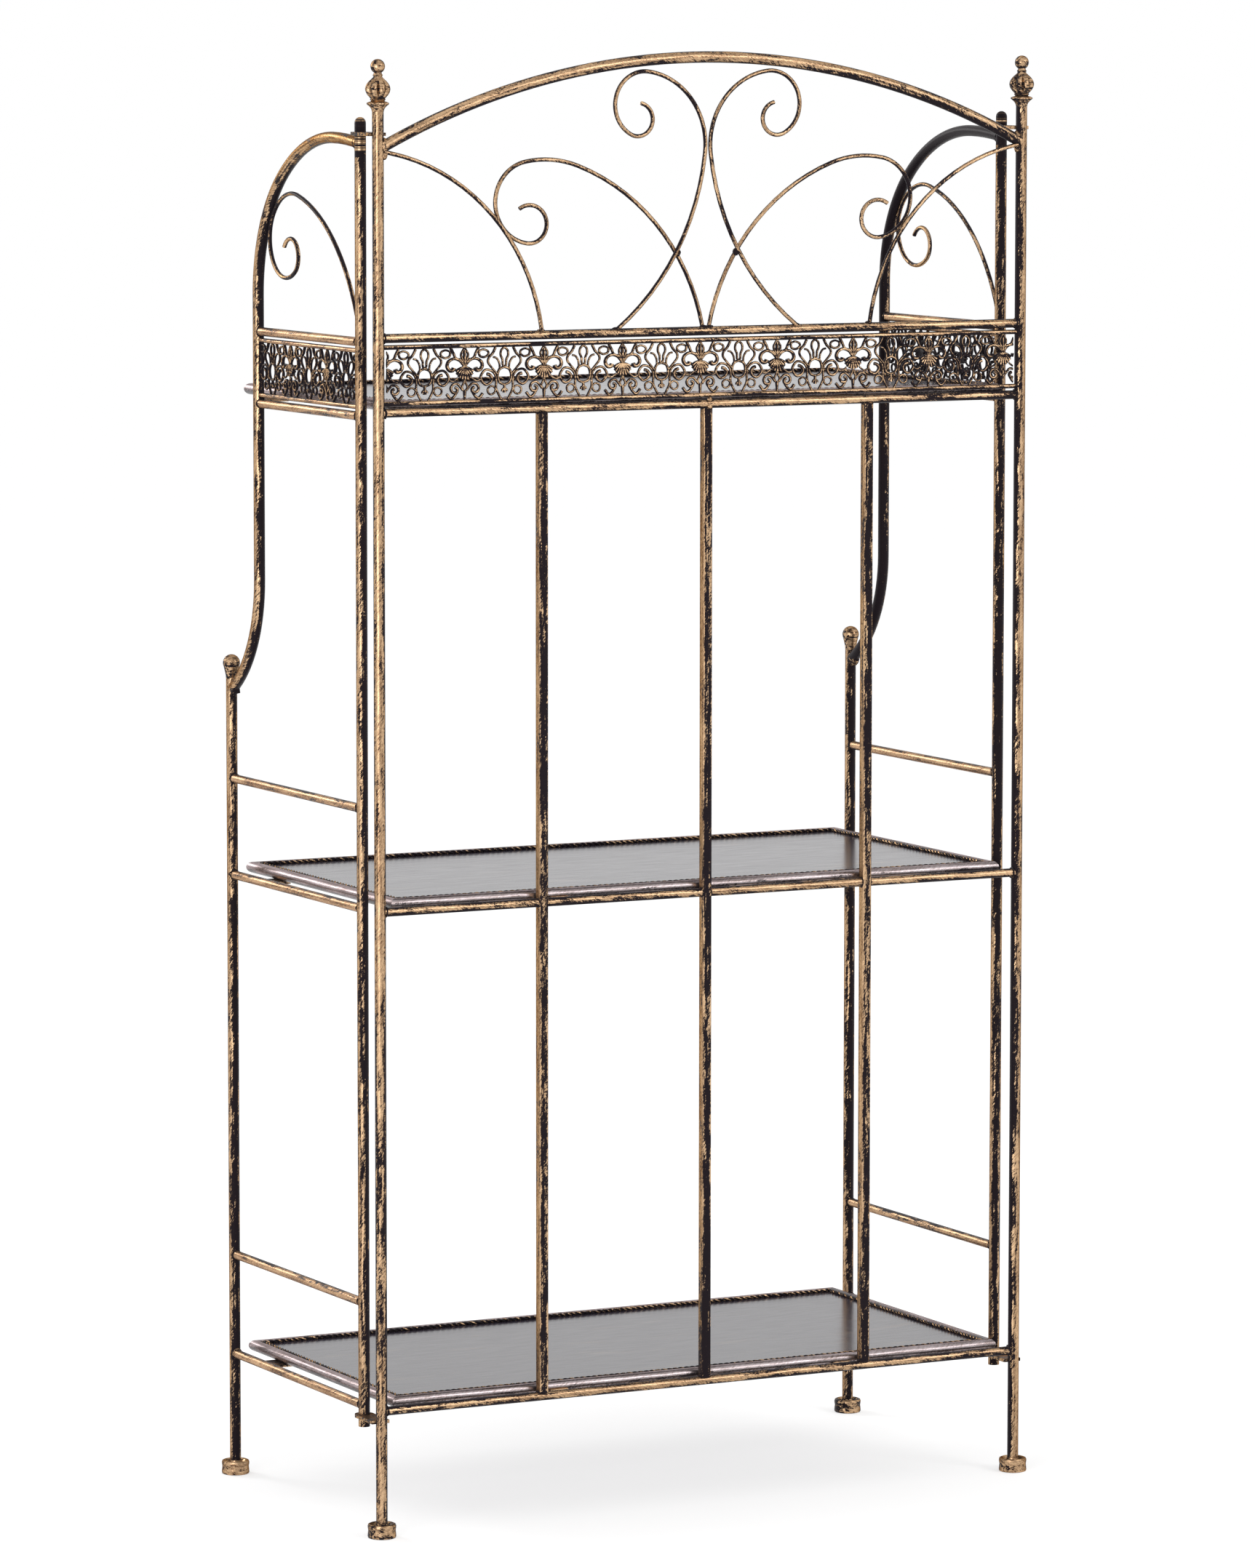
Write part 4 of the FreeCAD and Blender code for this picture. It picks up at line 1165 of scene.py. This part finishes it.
    def scroll(self) -> None:
        """Build the wire that curls up inside the hoop."""
        wire = Stock(SIZES.wire, WIRE_SIDES, self.scroll_foot, self.scroll_heading,
                     2.2 * self.sign)
        for radius, sweep in self.scroll_bends:
            wire.arc(radius, sweep)
        place = Matrix.Translation((self.x - self.scroll_shift, SIZES.pivot_y, 0)) @ FORWARD
        finish = Finishes.HOOP_WIRE.facing(self.side, (0.0, 0.5, 0.87 * self.sign))
        piece(f"{self.side}_hoop_scroll_skin", moved(wire.closed(), place), finish, self.body,
              (f"{self.side}_hoop_scroll",))


# ------------------------------------------------------------------ cast filigree
@dataclass(frozen=True)
class Strand:
    """One strand of the filigree: its line, in millimetres, and its width at both ends."""

    points: tuple[Pair, ...]
    start: float = 0.95
    end: float = 0.95
    mirrored: bool = True
    spans: int = 4


FLEUR = (
    Strand(((0, -0.5), (0, 5), (0, 10)), 0.9, 1.7, False),
    Strand(((0, 53.8), (2.3, 50.2), (4.1, 46.2), (2.6, 41.6), (0, 38.0)), 0.8, 1.2),
    Strand(((0, 51.0), (0, 46.5), (0, 36.0)), 1.2, 1.7, False),
    Strand(((0.8, 33.5), (1.6, 37.0), (4.2, 40.6), (6.4, 41.6)), 1.3, 1.2),
    Strand(((1.4, 35), (5.6, 40), (12, 42.2), (18, 39.8), (20.2, 35), (17.8, 30.6),
            (13.8, 30.2), (12.4, 32.8)), 1.0, 1.9),
    Strand(((5.8, 41.0), (10.6, 43.3), (12.9, 48), (16, 53.2)), 1.0, 1.3),
    Strand(((16.4, 49.5), (21.5, 51.2), (26.6, 49.4), (27.2, 46), (23, 43.2), (18, 44.2),
            (16.4, 47.6), (16.8, 50)), 0.9, 1.1),
    Strand(((1.6, 9.4), (3.2, 13), (1.4, 16.6), (0.4, 20))),
    Strand(((2.2, 9.4), (5.4, 13.4), (9, 16.4), (13.8, 15.4), (16, 11.4), (13.6, 7.4),
            (9.4, 7.6), (8.4, 11), (11, 12.6)), 1.0, 1.4),
    Strand(((9.4, 7), (12.6, 2.8), (16.4, 1.2), (20.6, 5.9)), 1.1, 1.3),
)
SHELL_RIBS = tuple(
    Strand(((0.5 * math.sin(math.radians(a)), 33.8 - 0.5 * math.cos(math.radians(a))),
            (5.0 * math.sin(math.radians(a)), 33.0 - 5.4 * math.cos(math.radians(a))),
            (9.6 * math.sin(math.radians(a)), 30.8 - 10.2 * math.cos(math.radians(a)))),
           0.6, 1.75, a > 0, 3) for a in (0, 20, 40, 60, 80))
CROWN = (
    Strand(((0, 14.6), (5.4, 16.6), (7.9, 23.4), (5.8, 30.2), (0, 32.6)), 1.15, 1.15),
    Strand(((0.4, 32.6), (2.0, 35.4), (2.2, 40.2), (4.3, 45), (3.6, 50), (0, 53)), 1.0, 1.0),
    Strand(((5.4, 29.4), (5.8, 36.5), (9, 41.8), (12.9, 43)), 0.9, 0.9),
    Strand(((7.4, 24.7), (14.8, 32.4), (18.7, 37.6), (18, 42.4), (13.5, 47), (10.3, 53)),
           0.9, 1.2),
    Strand(((9.4, 15), (10.3, 23.5), (14.8, 28.8), (21.9, 30), (26.8, 24.7), (26.8, 20),
            (21.9, 14.9), (16.8, 16.5), (14.4, 21), (16.8, 24.7), (20, 25.6)), 0.9, 1.5),
    Strand(((27, 21), (32, 18.8), (37.8, 22.4)), 0.9, 0.8),
    Strand(((9.7, 16), (9.2, 9.4), (3.9, -0.5)), 1.0, 1.0),
    Strand(((9.6, 9), (12.2, 12.4), (15.8, 13), (19.2, 10.4), (18.6, 6.2), (15.2, 4.4),
            (11.6, 6.2), (10.6, 9)), 0.9, 0.9),
    Strand(((0, 15.4), (0, 11), (0, 6)), 0.9, 1.6, False),
    Strand(((0, 10.4), (2.4, 9.2), (2.6, 7.4)), 0.9, 1.1),
)


@dataclass
class Filigree:
    """A strip of fleurs and crowns between two rods."""

    name: str
    body: str
    length: float
    base: Matrix
    finish: RubbedFinish
    starts_with_fleur: bool
    phase: float = 0.0
    half_pitch: float = 0.04575
    sides: int = 7
    thickness: float = 1.15
    weight: float = 1.30

    def build(self) -> None:
        """Build the strip, cut to length."""
        units = [self.unit(FLEUR + SHELL_RIBS), self.unit(CROWN)]
        if not self.starts_with_fleur:
            units.reverse()
        reach = int(self.length / self.half_pitch / 2) + 1
        whole = bmesh.new()
        whole.verts.layers.float_vector.new(STOCK)
        for k in range(-reach, reach + 1):
            before = len(whole.verts)
            whole.from_mesh(units[k % 2])
            whole.verts.ensure_lookup_table()
            bmesh.ops.translate(whole, vec=(k * self.half_pitch + self.phase, 0, 0),
                                verts=whole.verts[before:])
        for unit in units:
            bpy.data.meshes.remove(unit)
        for sign in (-1, 1):
            bmesh.ops.bisect_plane(
                whole, geom=whole.verts[:] + whole.edges[:] + whole.faces[:],
                plane_co=(self.length / 2 * sign, 0, 0), plane_no=(sign, 0, 0),
                clear_outer=True)
        bmesh.ops.holes_fill(whole, edges=[e for e in whole.edges if e.is_boundary], sides=0)
        piece(f"{self.name}_skin", moved(whole, self.base), self.finish, self.body,
              (self.name,), 60.0)

    def unit(self, strands: tuple[Strand, ...]) -> bpy.types.Mesh:
        """Make one fleur or crown.

        Args:
            strands: its strands on the right, and those in its middle.

        Returns:
            A mesh centred on x = 0, in metres.
        """
        parts = []
        for strand in strands:
            for sign in (1, -1) if strand.mirrored else (1,):
                path = smooth_path([(x * sign * 0.001, z * 0.001) for x, z in strand.points],
                                   strand.spans)
                radii = [(strand.start + (strand.end - strand.start) * k / (len(path) - 1))
                         * 0.001 * self.weight for k in range(len(path))]
                heading = math.degrees(math.atan2(path[1][1] - path[0][1],
                                                  path[1][0] - path[0][0]))
                bar = Stock(radii[0], self.sides, path[0], heading, 0.0, self.thickness)
                bar.follow(path, [1.0] + [b / a for a, b in zip(radii, radii[1:])])
                parts.append(bar.closed())
        mesh = bpy.data.meshes.new("unit")
        gather(parts).to_mesh(mesh)
        return mesh


BACK_STRIP, SIDE_STRIP = 0.742, 0.2373          # lengths
BACK_PHASE = 0.0075                             # the middle fleur stands this far off centre
SIDE_MIDDLE = 0.12765                           # from the pivot post's centre


def all_filigree() -> list[Filigree]:
    """Lay out the strips of the back and of both sides.

    Returns:
        The strips, ready to be built.
    """
    gap = SIZES.rod_step + SIZES.rod
    strips = [Filigree("back_filigree", "back_frame", BACK_STRIP,
                       Matrix.Translation((0, SIZES.back_y, SIZES.lower_rail_z + gap)),
                       Finishes.BACK_LACE, True, BACK_PHASE)]
    foot = SIZES.lower_rail_z - SIZES.side_gallery_drop + gap
    for side, sign in SIDES:
        base = Matrix.Translation((SIZES.half_width * sign, SIZES.pivot_y - SIDE_MIDDLE, foot))
        strips.append(Filigree(f"{side}_filigree", f"{side}_side", SIDE_STRIP, base @ FORWARD,
                               Finishes.SIDE_LACE.facing(side, (sign, 0.0, 0.0)), False))
    return strips


# ------------------------------------------------------------------ trays
@dataclass
class Tray:
    """One tray: four mitred tubes, a satin panel and a twisted rope trim."""

    level: str
    axis_z: float
    width: float = 0.714
    rear: float = 0.1716
    front: float = -0.182
    panel_top: float = 0.0025
    panel_thickness: float = 0.0012
    rope_radius: float = 0.0019
    rope_pitch: float = 0.0138
    rope_strand: float = 0.54
    rope_steps: int = 12
    rope_crest: float = 0.7
    spare: float = 0.02

    @property
    def body(self) -> str:
        """The body that the tray is."""
        return f"{self.level}_tray"

    @property
    def middle_y(self) -> float:
        """The tray's middle, front to back."""
        return (self.rear + self.front) / 2

    def build(self) -> None:
        """Build the tray's three pieces."""
        depth = self.rear - self.front
        tubes = self.ring(self.width, depth, self.axis_z, self.tube)
        piece(f"{self.level}_tray_tubes_skin", tubes, Finishes.TRAY_TUBE, self.body,
              (f"{self.level}_tray_frame",))
        self.panel(depth)
        rise = self.panel_top + self.rope_radius
        inset = 2 * math.sqrt((SIZES.post + self.rope_radius) ** 2 - rise ** 2)
        rope = self.ring(self.width - inset, depth - inset, self.axis_z + rise, self.rope)
        piece(f"{self.level}_tray_rope_skin", rope, Finishes.ROPE, self.body,
              (f"{self.level}_tray_rope",))

    def ring(self, width: float, depth: float, z: float,
             make: Callable[[float, float], Mesh]) -> Mesh:
        """Set four bars round a rectangle and mitre their ends.

        Args:
            width: between the side bars' centres.
            depth: between the front and rear bars' centres.
            z: height of the centres.
            make: gives a bar of a length, centred on x = 0, with a pattern shift.

        Returns:
            The mesh of all four.
        """
        bars = []
        for index, (length, across) in enumerate(((width, depth), (depth, width)) * 2):
            bm = make(length + self.spare, self.axis_z * 3 + index * 1.1)
            for sign in (-1, 1):
                bmesh.ops.bisect_plane(
                    bm, geom=bm.verts[:] + bm.edges[:] + bm.faces[:],
                    plane_co=(sign * length / 2, 0, 0), plane_no=(sign, 1, 0),
                    clear_outer=True)
            bmesh.ops.holes_fill(bm, edges=[e for e in bm.edges if e.is_boundary], sides=0)
            moved(bm, Matrix.Translation((0, -across / 2, 0)))
            bars.append(moved(bm, Matrix.Rotation(math.radians(90 * index), 4, "Z")))
        return moved(gather(bars), Matrix.Translation((0, self.middle_y, z)))

    def tube(self, length: float, offset: float) -> Mesh:
        """Make one plain tube centred on x = 0."""
        bar = Stock(SIZES.post, TUBE_SIDES, (-length / 2, 0), 0, offset)
        return bar.straight(length, 6).closed()

    def rope(self, length: float, offset: float) -> Mesh:
        """Make one length of two-strand rope centred on x = 0.

        Args:
            length: its length.
            offset: shift of its pattern.

        Returns:
            The mesh.
        """
        strands = []
        steps = int(length / self.rope_pitch * self.rope_steps)
        strand = self.rope_radius * self.rope_strand
        reach = self.rope_radius - strand
        for phase in (0, math.pi):
            bar = Stock(strand, 7, (-length / 2, 0), 0, offset + phase)
            bar.straight(length, steps)
            bm = bar.closed()
            layer = bm.verts.layers.float_vector[STOCK]
            for vert in bm.verts:
                turn = 2 * math.pi * vert.co.x / self.rope_pitch + phase
                vert.co.y += reach * math.cos(turn)
                vert.co.z += reach * math.sin(turn)
                crest = math.hypot(vert.co.y, vert.co.z) - self.rope_crest * self.rope_radius
                vert[layer] = Vector((vert[layer].x, crest, 0.0))
            strands.append(bm)
        return gather(strands)

    def panel(self, depth: float) -> None:
        """Build the sheet between the tubes.

        Args:
            depth: between the centres of the front and rear tubes.
        """
        bm = bmesh.new()
        bmesh.ops.create_cube(bm, size=1.0)
        size = (self.width - 2 * SIZES.post, depth - 2 * SIZES.post, self.panel_thickness)
        bmesh.ops.scale(bm, vec=size, verts=bm.verts)
        z = self.axis_z + self.panel_top - self.panel_thickness / 2
        moved(bm, Matrix.Translation((0, self.middle_y, z)))
        piece(f"{self.level}_tray_panel_skin", bm, Finishes.PANEL, self.body,
              (f"{self.level}_tray_panel",))


TRAY_HEIGHTS = (("gallery", 1.1798), ("middle", 0.6633), ("bottom", 0.1394))     # of the tubes


# ------------------------------------------------------------------ welds
@dataclass
class Welds:
    """The beads where bars meet."""

    seed: float = 0.0
    step: float = 1.37
    rail_end: Triple = (0.0022, 0.0060, 0.0062)
    arch_end: Triple = (0.003, 0.0060, 0.0078)
    strap_foot: Triple = (0.0072, 0.0062, 0.0026)
    strap_top: Triple = (0.0070, 0.0060, 0.0024)
    strap_side: Triple = (0.0016, 0.0058, 0.0058)
    scroll_foot: Triple = (0.0040, 0.0040, 0.0016)
    crossing: Triple = (0.0034, 0.0034, 0.0044)
    crossing_place: Pair = (0.0345, 1.3325)
    bar_end: Triple = (0.0058, 0.0021, 0.0060)
    hoop_foot: Triple = (0.0058, 0.0060, 0.0085)
    hoop_foot_z: float = 0.8590
    hoop_foot_out: float = 0.0030
    hoop_end: Triple = (0.0060, 0.0032, 0.0070)
    hoop_end_z: float = 1.4493
    hoop_end_in: float = 0.0010
    gilt_arch: tuple[tuple[float, float, Triple], ...] = (      # height, way out, half sizes
        (1.4500, 0.0, (0.0042, 0.0064, 0.0060)), (1.4372, 0.0015, (0.0034, 0.0042, 0.0046)))
    gilt_strap: Triple = (0.0030, 0.0020, 0.0026)
    gilt_strap_place: Pair = (-0.002, 0.0042)
    gilt_strap_rise: Pair = (0.0052, -0.0030)

    def bead(self, place: Triple, size: Triple) -> Mesh:
        """Make the next bead."""
        self.seed += self.step
        return weld_blob(place, size, self.seed)

    def build(self) -> None:
        """Build the beads of the back frame and of both sides."""
        back = []
        y = SIZES.back_y
        levels = (SIZES.upper_rail_z, SIZES.lower_rail_z, SIZES.middle_rail_z,
                  SIZES.bottom_rail_z)
        for _, sign in SIDES:
            x = (SIZES.half_width - SIZES.post) * sign
            back += [self.bead((x, y, z), self.rail_end) for z in levels]
            back.append(self.bead((x, y, SIZES.arch_spring), self.arch_end))
        for x in SIZES.strap_places:
            foot = SIZES.bottom_rail_z + SIZES.rail
            back.append(self.bead((x, y, foot), self.strap_foot))
            back.append(self.bead((x, y, SIZES.lower_rail_z - SIZES.rail), self.strap_top))
            back += [self.bead((x + sign * SIZES.strap / 2, y, SIZES.middle_rail_z),
                               self.strap_side) for sign in (-1, 1)]
        for sign in (-1, 1):
            back += [self.bead((scroll.foot * sign, y, SIZES.upper_rail_z + SIZES.rail),
                               self.scroll_foot) for scroll in SCROLLS]
            x, z = self.crossing_place
            back.append(self.bead((x * sign, y, z), self.crossing))
        piece("back_weld_beads", gather(back), Finishes.WELD, "back_frame")
        self.gold_beads()
        for side, sign in SIDES:
            self.side_beads(side, sign)

    def gold_beads(self) -> None:
        """Build the beads that the gold was rubbed over: at the arch and over the middle strap."""
        beads = []
        for _, sign in SIDES:
            x = (SIZES.half_width - SIZES.post) * sign
            beads += [self.bead((x, SIZES.back_y + out, z), size)
                      for z, out, size in self.gilt_arch]
        x, out = self.gilt_strap_place
        beads += [self.bead((x, SIZES.back_y + out, SIZES.lower_rail_z + rise), self.gilt_strap)
                  for rise in self.gilt_strap_rise]
        piece("arch_weld_beads", gather(beads), Finishes.GOLD_WELD, "back_frame")

    def side_beads(self, side: str, sign: int) -> None:
        """Build the beads of one side frame, where its bars and hoop meet the posts.

        Args:
            side: left or right.
            sign: which way it lies.
        """
        x = SIZES.half_width * sign
        rear, front = SIZES.pivot_y - SIZES.post, -SIZES.back_y + SIZES.post
        leg = SIZES.pivot_y - SIZES.leg_reach + SIZES.post
        gallery = [z - SIZES.side_gallery_drop for z in (SIZES.upper_rail_z, SIZES.lower_rail_z)]
        low = [SIZES.guards[0], SIZES.middle_rail_z - SIZES.cross_rail_drop, SIZES.guards[1],
               SIZES.bottom_rail_z - SIZES.cross_rail_drop]
        spots = [(y, z) for z in gallery for y in (rear, leg)]
        spots += [(y, z) for z in low for y in (rear, front)]
        beads = [self.bead((x, y, z), self.bar_end) for y, z in spots]
        beads.append(self.bead((x, front + self.hoop_foot_out, self.hoop_foot_z), self.hoop_foot))
        beads.append(self.bead((x, rear - self.hoop_end_in, self.hoop_end_z), self.hoop_end))
        piece(f"{side}_weld_beads", gather(beads), Finishes.WELD, f"{side}_side")


# ------------------------------------------------------------------ kept nodes, floor and camera
def dress_kept_nodes() -> None:
    """Give the plates, hooks and tray rests their finish."""
    names = ["hinge_plates", "tray_hooks", "left_tray_rests", "right_tray_rests"]
    for name in names:
        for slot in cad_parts[name].material_slots:
            slot.material = Finishes.PLATE.material()
        LOG.info("%s: kept, with %s", name, Finishes.PLATE.name)


@dataclass(frozen=True)
class Softbox:
    """A soft lamp that faces the rack."""

    name: str
    place: Triple
    size: Pair              # width and height
    power: float            # watts

    def build(self) -> None:
        """Hang the lamp."""
        light = bpy.data.lights.new(self.name, "AREA")
        light.shape = "RECTANGLE"
        light.size, light.size_y = self.size
        light.energy = self.power
        item = bpy.data.objects.new(self.name, light)
        item.location = self.place
        aim = Vector((0, 0, 1.0)) - item.location
        item.rotation_euler = aim.to_track_quat("-Z", "Y").to_euler()
        item.visible_camera = False
        bpy.context.scene.collection.objects.link(item)


SOFTBOXES = (
    Softbox("post_softbox", (4.3, 3.5, 1.15), (2.4, 2.2), 75),
    Softbox("rail_softbox", (-2.8, 5.4, 3.4), (2.2, 1.8), 75),
    Softbox("side_softbox", (2.7, -4.8, 2.9), (1.9, 1.7), 75),
)


@dataclass
class Studio:
    """The floor, the soft light and the camera."""

    place: Triple = (3.6131, 7.0290, 1.6283)
    azimuth: float = 152.776
    elevation: float = 6.314
    roll: float = 0.045
    focal: float = 169.33
    sensor: float = 36.0
    far_clip: float = 1000.0
    floor_radius: float = 450.0
    ambient: float = 0.5

    def build(self) -> None:
        """Build floor, world, lamps and camera."""
        scene = bpy.context.scene
        scene.view_settings.view_transform = "Standard"
        self.world(scene)
        self.floor()
        for softbox in SOFTBOXES:
            softbox.build()
        self.camera(scene)

    def world(self, scene: bpy.types.Scene) -> None:
        """Light all round, white to the camera and in reflections.

        Args:
            scene: the scene that it lights.
        """
        world = bpy.data.worlds.new("studio")
        world.use_nodes = True
        scene.world = world
        nodes = NodeTree(world.node_tree)
        shade = world.node_tree.nodes["Background"]
        strength = nodes.weighted([(nodes.seen(), 1 - self.ambient)], self.ambient)
        nodes.join(strength, shade.inputs["Strength"])
        shade.inputs["Color"].default_value = (1, 1, 1, 1)

    def floor(self) -> None:
        """Make the pale floor, white to the camera apart from the rack's own shadow."""
        bm = bmesh.new()
        bmesh.ops.create_circle(bm, cap_ends=True, segments=64, radius=self.floor_radius)
        mesh = bpy.data.meshes.new("floor")
        bm.to_mesh(mesh)
        bm.free()
        floor = bpy.data.objects.new("floor", mesh)
        bpy.context.scene.collection.objects.link(floor)
        floor.data.materials.append(FloorFinish().material())

    def camera(self, scene: bpy.types.Scene) -> None:
        """Set the camera where it looks at the rack from behind its right end.

        Args:
            scene: the scene that it looks at.
        """
        lens = bpy.data.cameras.new("camera")
        lens.sensor_fit = "VERTICAL"
        lens.sensor_height = self.sensor
        lens.lens = self.focal
        lens.clip_end = self.far_clip
        item = bpy.data.objects.new("camera", lens)
        a, e = math.radians(self.azimuth), math.radians(self.elevation)
        sight = -Vector((math.sin(a) * math.cos(e), -math.cos(a) * math.cos(e), math.sin(e)))
        aim = sight.to_track_quat("-Z", "Y").to_matrix().to_4x4()
        item.matrix_world = (Matrix.Translation(self.place) @ aim
                             @ Matrix.Rotation(math.radians(self.roll), 4, "Z"))
        scene.collection.objects.link(item)
        scene.camera = item


def main() -> None:
    """Build the finishes, the rack and the studio, in that order."""
    logging.basicConfig(level=logging.INFO, format="%(name)s: %(message)s")
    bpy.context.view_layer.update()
    RUBBING.build()
    BackFrame().build()
    Scrollwork().build()
    for side, sign in SIDES:
        SideFrame(side, sign).build()
    for strip in all_filigree():
        strip.build()
    for level, height in TRAY_HEIGHTS:
        Tray(level, height).build()
    Welds().build()
    dress_kept_nodes()
    Studio().build()


if __name__ == "__main__":
    main()
